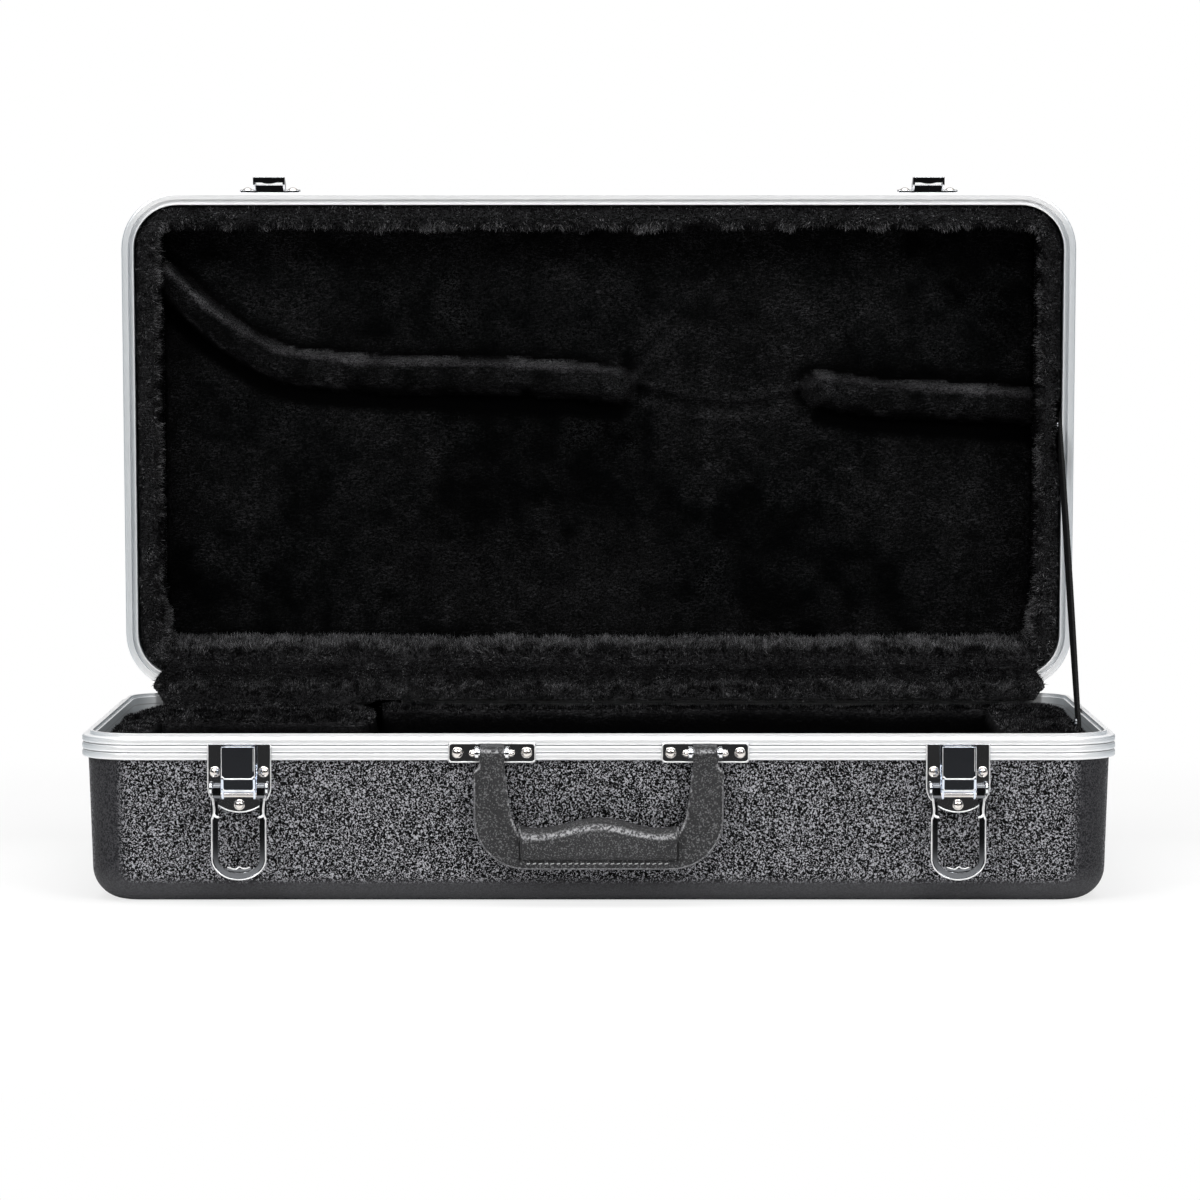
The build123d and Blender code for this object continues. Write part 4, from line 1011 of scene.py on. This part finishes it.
# ---- rolled edges, bent wire and stitches ----
def wires(name, routes, radius, body, material, sides=8):
    """Round wires with domed ends along routes of points, in millimetres, as one piece."""
    rings, faces = [], []
    turn = np.linspace(0, 2 * math.pi, sides, endpoint=False)[:, None]
    for route in routes:
        route = np.array(route, float)
        tangent = unit(np.gradient(route, axis=0))
        first, last = tangent[0] * radius, tangent[-1] * radius
        start, end = route[0], route[-1]
        route = np.vstack([start - first, start - 0.7 * first, route, end + 0.7 * last, end + last])
        tangent = np.vstack([tangent[:1], tangent[:1], tangent, tangent[-1:], tangent[-1:]])
        sizes = np.full(len(route), radius)
        sizes[[0, -1]] *= 0.15
        sizes[[1, -2]] *= 0.7
        across = np.cross(tangent[0], (0.31, 0.52, 0.8))
        faces += tube_faces(len(route), sides, offset=len(rings) * sides)
        for point, along, size in zip(route, tangent, sizes):
            across = unit(across - along * (across @ along))
            other = np.cross(along, across)
            rings.append(point + size * (np.cos(turn) * across + np.sin(turn) * other))
    fit(mesh_object(name, np.vstack(rings) / 1000, faces), material, body)


def front_points(centre, out, points):
    """Points given as x from a centre and z, put `out` past the rim's face."""
    return [(centre + x, FRONT_Y - out, z) for x, z in points]


def both_sides(half):
    """A whole outline from its left half, which ends on the middle."""
    return half + [(-x, z) for x, z in half[-2::-1]]


def shield(half, top, shoulder, drop, count=25):
    """Open outline, straight down both sides from `top` and round below."""
    turn = np.linspace(math.pi, 2 * math.pi, count)
    curve = [(half * math.cos(t), shoulder + drop * math.sin(t)) for t in turn]
    middle = (top + shoulder) / 2
    return [(-half, top), (-half, middle)] + curve + [(half, middle), (half, top)]


def rounded_rectangle(half_x, low, high, corner, count=7):
    """Closed outline that starts and ends on its right side."""
    arcs = corner_arcs(half_x, low, high, corner, count)
    points = np.vstack(arcs[1:] + arcs[:1]).tolist()
    return points + points[:1]


LATCHES = (("left", -192.0), ("right", 192.0))
BRACKETS = (("left", -57.0), ("right", 57.0))
# how far the front of each stands out from the rim's face
PLATE_OUT = 1.25
HOOK_OUT = 11.1
HOOK_STEP_OUT = 9.0
BAIL_OUT = 7.0
HOOK_SIDE = 8.85
HOOK_LOW = 68.0
PIN_Z = 59.3
PLATE_SHIELD = (16.8, 85.6, 63.5, 13.7)
BAIL_SHIELD = (14.35, 47.0, 25.4, 11.35, 41)
# half outlines, as x from the latch's middle and z
HOOK_FOLD = [(-8.3, HOOK_LOW + 1.5), (-7.4, HOOK_LOW + 0.6), (-6.0, HOOK_LOW + 0.4), (0, HOOK_LOW + 0.4)]
HOOK_STEP = [(-8.0, PIN_Z + 3.3), (-7.2, PIN_Z + 2.7), (0, PIN_Z + 2.6)]
BAIL_ARM = [(13.9, 58.6), (13.5, 54.5), (13.1, 51.2), (13.6, 48.6), (14.3, 46.6)]
BAIL_SPUR = [(13.4, 49.4), (12.4, 47.9), (11.0, 47.5)]
BAIL_TAB = [(-6.0, 20.6), (-3.4, 19.8), (-1.4, 19.7), (0.2, 20.9), (1.8, 20.0), (3.6, 19.9), (5.6, 20.6)]


def latch_edges(side, centre):
    """The bright rolled edges of a latch's plate, hook and bail."""
    base, hook, bail = "case_base", f"hook_{side}", f"bail_{side}"
    plate = front_points(centre, PLATE_OUT - 0.2, shield(*PLATE_SHIELD))
    wires(f"latch_plate_edge_{side}", [plate], 0.42, base, HIGHLIGHT_EDGE)
    folds = []
    for x in (-HOOK_SIDE, HOOK_SIDE):
        folds.append(front_points(centre, HOOK_OUT - 0.05, [(x, 84.8), (x, 76), (x, 68.9)]))
    folds.append(front_points(centre, HOOK_OUT - 0.1, [(8.1, 72.5), (8.1, 79), (8.1, 84.6)]))
    wires(f"latch_hook_folds_{side}", folds, 0.17, hook, HIGHLIGHT_EDGE)
    bars = [
        front_points(centre, HOOK_OUT - 0.15, smooth_route(both_sides(HOOK_FOLD), 0.5)),
        front_points(centre, HOOK_STEP_OUT - 0.1, smooth_route(both_sides(HOOK_STEP), 0.5)),
    ]
    wires(f"latch_hook_bars_{side}", bars, 0.44, hook, HIGHLIGHT_EDGE)
    loop = front_points(centre, BAIL_OUT - 0.35, shield(*BAIL_SHIELD))
    wires(f"latch_bail_wire_{side}", [loop], 0.5, bail, HIGHLIGHT_EDGE)
    arms = []
    for sign in (-1, 1):
        for route in (BAIL_ARM, BAIL_SPUR):
            route = smooth_route([(sign * x, z) for x, z in route], 0.8)
            arms.append(front_points(centre, BAIL_OUT - 0.5, route))
    wires(f"latch_bail_arms_{side}", arms, 0.72, bail, HIGHLIGHT_EDGE)
    tab = front_points(centre, BAIL_OUT - 0.9, smooth_route(BAIL_TAB, 0.5))
    wires(f"latch_bail_tab_{side}", [tab], 0.36, bail, HIGHLIGHT_EDGE)
    thumb_plate(side, centre)


def thumb_plate(side, centre):
    """Dished thumb tab inside the bottom of the bail."""
    rows, columns, half = 9, 25, 6.6
    u, v = np.meshgrid(np.linspace(-1, 1, columns), np.linspace(0, 1, rows))
    low, high = 16.2 + 1.9 * u**2, 20.2 + 0.4 * u**2
    z = low + (high - low) * v
    dish = 0.9 * np.sin(math.pi * v) * (1 - u**2)
    under = rows * columns
    faces = grid_faces(rows, columns)
    faces += [f[::-1] for f in grid_faces(rows, columns, offset=under)]
    shells = []
    for back in (0.8, 1.9):
        out = BAIL_OUT - back - dish
        shells.append(np.stack([centre + half * u, FRONT_Y - out, z], 2).reshape(-1, 3))
    border = border_of(np.arange(under).reshape(rows, columns).T)
    turned = np.roll(border, -1)
    faces += np.stack([border, border + under, turned + under, turned], 1).tolist()
    piece = mesh_object(f"latch_bail_thumb_{side}", np.vstack(shells) / 1000, faces)
    fit(piece, DARKENED_CHROME, f"bail_{side}")


def bracket_edges(side, centre):
    """Rolled edge round a handle bracket and the ball ends of its rod."""
    edge = front_points(centre, PLATE_OUT + 0.1, rounded_rectangle(23.1, 76.6, 86.6, 2.0))
    wires(f"bracket_edge_{side}", [edge], 0.42, "case_base", HIGHLIGHT_EDGE)
    balls = []
    for sign in (-1, 1):
        balls.append(front_points(centre, 5.2, [(sign * x, 81.3) for x in (9.7, 10.1, 10.5)]))
    wires(f"bracket_rod_ends_{side}", balls, 1.65, "case_base", NICKEL, sides=16)


STITCH = [(-0.7, -0.16), (-0.3, -0.05), (0.3, 0.06), (0.7, 0.18)]
STITCH_Z, STITCH_PITCH, STITCH_COUNT = 22.8, 3.2, 24
SLIT = [(42.3, 24.6), (42.35, 33), (42.3, 42.6)]


def handle_details():
    """Stitches under the grip, the strap's rolled outer edge, and near-black wires that paint the shade in
    the slits at the grip's ends.
    """
    stitch = [(x, STITCH_Z + z) for x, z in STITCH]
    spots = [-37.5 + index * STITCH_PITCH for index in range(STITCH_COUNT)]
    stitches = [front_points(x, 8.45, stitch) for x in spots]
    wires("handle_stitches", stitches, 0.29, "handle", THREAD)
    half, low, corner = 66.2, 20.0, 27.4
    turn = np.linspace(math.pi, 1.5 * math.pi, 16)
    edge = [(-half, 68.0), (-half, 58.0)]
    for t in turn:
        edge.append((corner - half + corner * math.cos(t), low + corner + corner * math.sin(t)))
    edge = front_points(0, 8.0, both_sides(edge + [(0.0, low)]))
    wires("handle_rolled_edge", [edge], 0.5, "handle", PIPING)
    # painted shade: near-black wires stand in for the shade in the slits between grip and strap
    slits = [front_points(0, 8.3, [(sign * x, z) for x, z in SLIT]) for sign in (-1, 1)]
    wires("handle_grip_slit_shades", slits, 0.42, "handle", SLIT_SHADE)


lid_panel()
lid_wall()
base_block("base_floor_pad", "base_lining_floor", 30000, 201, voxel=0.005, swell=0)
base_block("front_bolster_left", "base_block_front_left", 34000, 202)
base_block("front_bolster_right", "base_block_front_right", 22000, 203)
base_block("valve_rest_pad", "base_block_valve_rest", 8000, 204)
base_block("left_end_pad", "base_block_left", 10000, 205)
base_block("right_end_block", "base_block_right", 20000, 206)
base_block("mouthpiece_block", "base_block_mouthpiece", 22000, 207, voxel=0.004)
base_block("back_wall_pad", "base_block_back", 14000, 208, voxel=0.004)
base_block("well_divider", "base_block_divider", 12000, 209, voxel=0.004)
gap_liner()
hinge_flap()
stay_strap()
soft_vinyl("handle_strap", "handle_strap_cover", 10)
soft_vinyl("handle_grip", "handle_grip_moulding", 5)
for latch_side, latch_centre in LATCHES:
    latch_edges(latch_side, latch_centre)
for bracket_side, bracket_centre in BRACKETS:
    bracket_edges(bracket_side, bracket_centre)
handle_details()


# ---- camera, light and floor ----
LENS = 155.46
FRAME_SIZE = 1200  # pixels
FRAME_DROP = 2
CAMERA_PLACE = (0.0007, -2.905, 0.3296)
CAMERA_DIP = 3.43  # degrees below level
camera_data = bpy.data.cameras.new("camera")
camera = new_object("camera", camera_data)
scene.camera = camera
camera_data.lens = LENS
camera_data.sensor_width = 36
camera_data.shift_y = -FRAME_DROP / FRAME_SIZE
camera_data.clip_end = 100
camera.location = CAMERA_PLACE
camera.rotation_euler = (math.radians(90 - CAMERA_DIP), 0, 0)


def softbox(name, place, aim, size, power):
    light = bpy.data.lights.new(name, "AREA")
    light.shape = "RECTANGLE"
    light.size, light.size_y = size
    light.energy = power
    lamp = new_object(name, light)
    lamp.location = place
    lamp.rotation_euler = (Vector(aim) - Vector(place)).to_track_quat("-Z", "Y").to_euler()


softbox("top", (0, -0.15, 1.9), (0, 0.05, 0.2), (2.2, 1.1), 30)
softbox("front_left", (-1.3, -1.9, 1.4), (0, 0, 0.15), (0.8, 0.8), 25)
softbox("front_right", (1.3, -1.9, 1.35), (0, 0, 0.15), (0.8, 0.8), 23)
softbox("brow", (0, -1.7, 1.25), (0, -0.1, 0.1), (1.8, 0.22), 6)


WHITE = (1, 1, 1, 1)


def studio_world():
    """White behind and above, dark behind the camera, as flat chrome shows it."""
    world = bpy.data.worlds.new("studio")
    scene.world = world
    world.use_nodes = True
    world.node_tree.nodes.clear()
    w = Nodes(world.node_tree)
    toward = w.split(w.toward)
    room = w.fade(toward["Y"], -0.9, 0.1, 0.015, 0.9)
    height = w.fade(toward["Z"], 0.05, 0.6, 0.38, 1.0)
    over = w.fade(toward["Z"], 0.20, 0.50, 0.0, 0.7)
    strength = w.math("MAXIMUM", w.math("MULTIPLY", room, height), over)
    tint = w.ramp(w.math("ABSOLUTE", toward["X"]), (0.30, 1.0), (0.75, (0.40, 0.44, 0.47)))
    ambient = w.light("Background", WHITE, 0.22)
    rays = w.node("LightPath").outputs
    shown = w.mix(rays["Is Glossy Ray"], ambient, w.light("Background", tint, strength))
    shown = w.mix(rays["Is Camera Ray"], shown, w.light("Background", WHITE, 1.0))
    w.node("OutputWorld", {"Surface": shown})


def pale_floor():
    """Pale floor that keeps the case's shadow and fades to the white around it."""
    count, radius = 96, 1.3
    turns = [2 * math.pi * i / count for i in range(count)]
    ring = [(radius * math.cos(t), radius * math.sin(t), 0) for t in turns]
    floor = mesh_object("floor", ring, [tuple(range(count))], smooth=False)
    m = Surface("pale_floor")
    rays = m.node("LightPath").outputs
    mirrored = m.fade(m.split(m.place)["Y"], -0.45, -0.28, 0.02, 0.9)
    m.set(Base_Color=m.blend(rays["Is Glossy Ray"], (0.9, 0.9, 0.9, 1), mirrored))
    m.set(Roughness=1.0, Specular_IOR_Level=0.0)
    away = m.node("VectorMath", {0: m.place}, operation="LENGTH").outputs["Value"]
    seen = m.math("MULTIPLY", rays["Is Camera Ray"], m.fade(away, 0.4, 0.85, 0.72, 1.0))
    shown = m.mix(seen, m.shader.outputs[0], m.light("Emission", WHITE, 1.0))
    m.put(m.output.inputs["Surface"], shown)
    dress(floor, m.material)


studio_world()
pale_floor()

scene.view_settings.view_transform = "Standard"
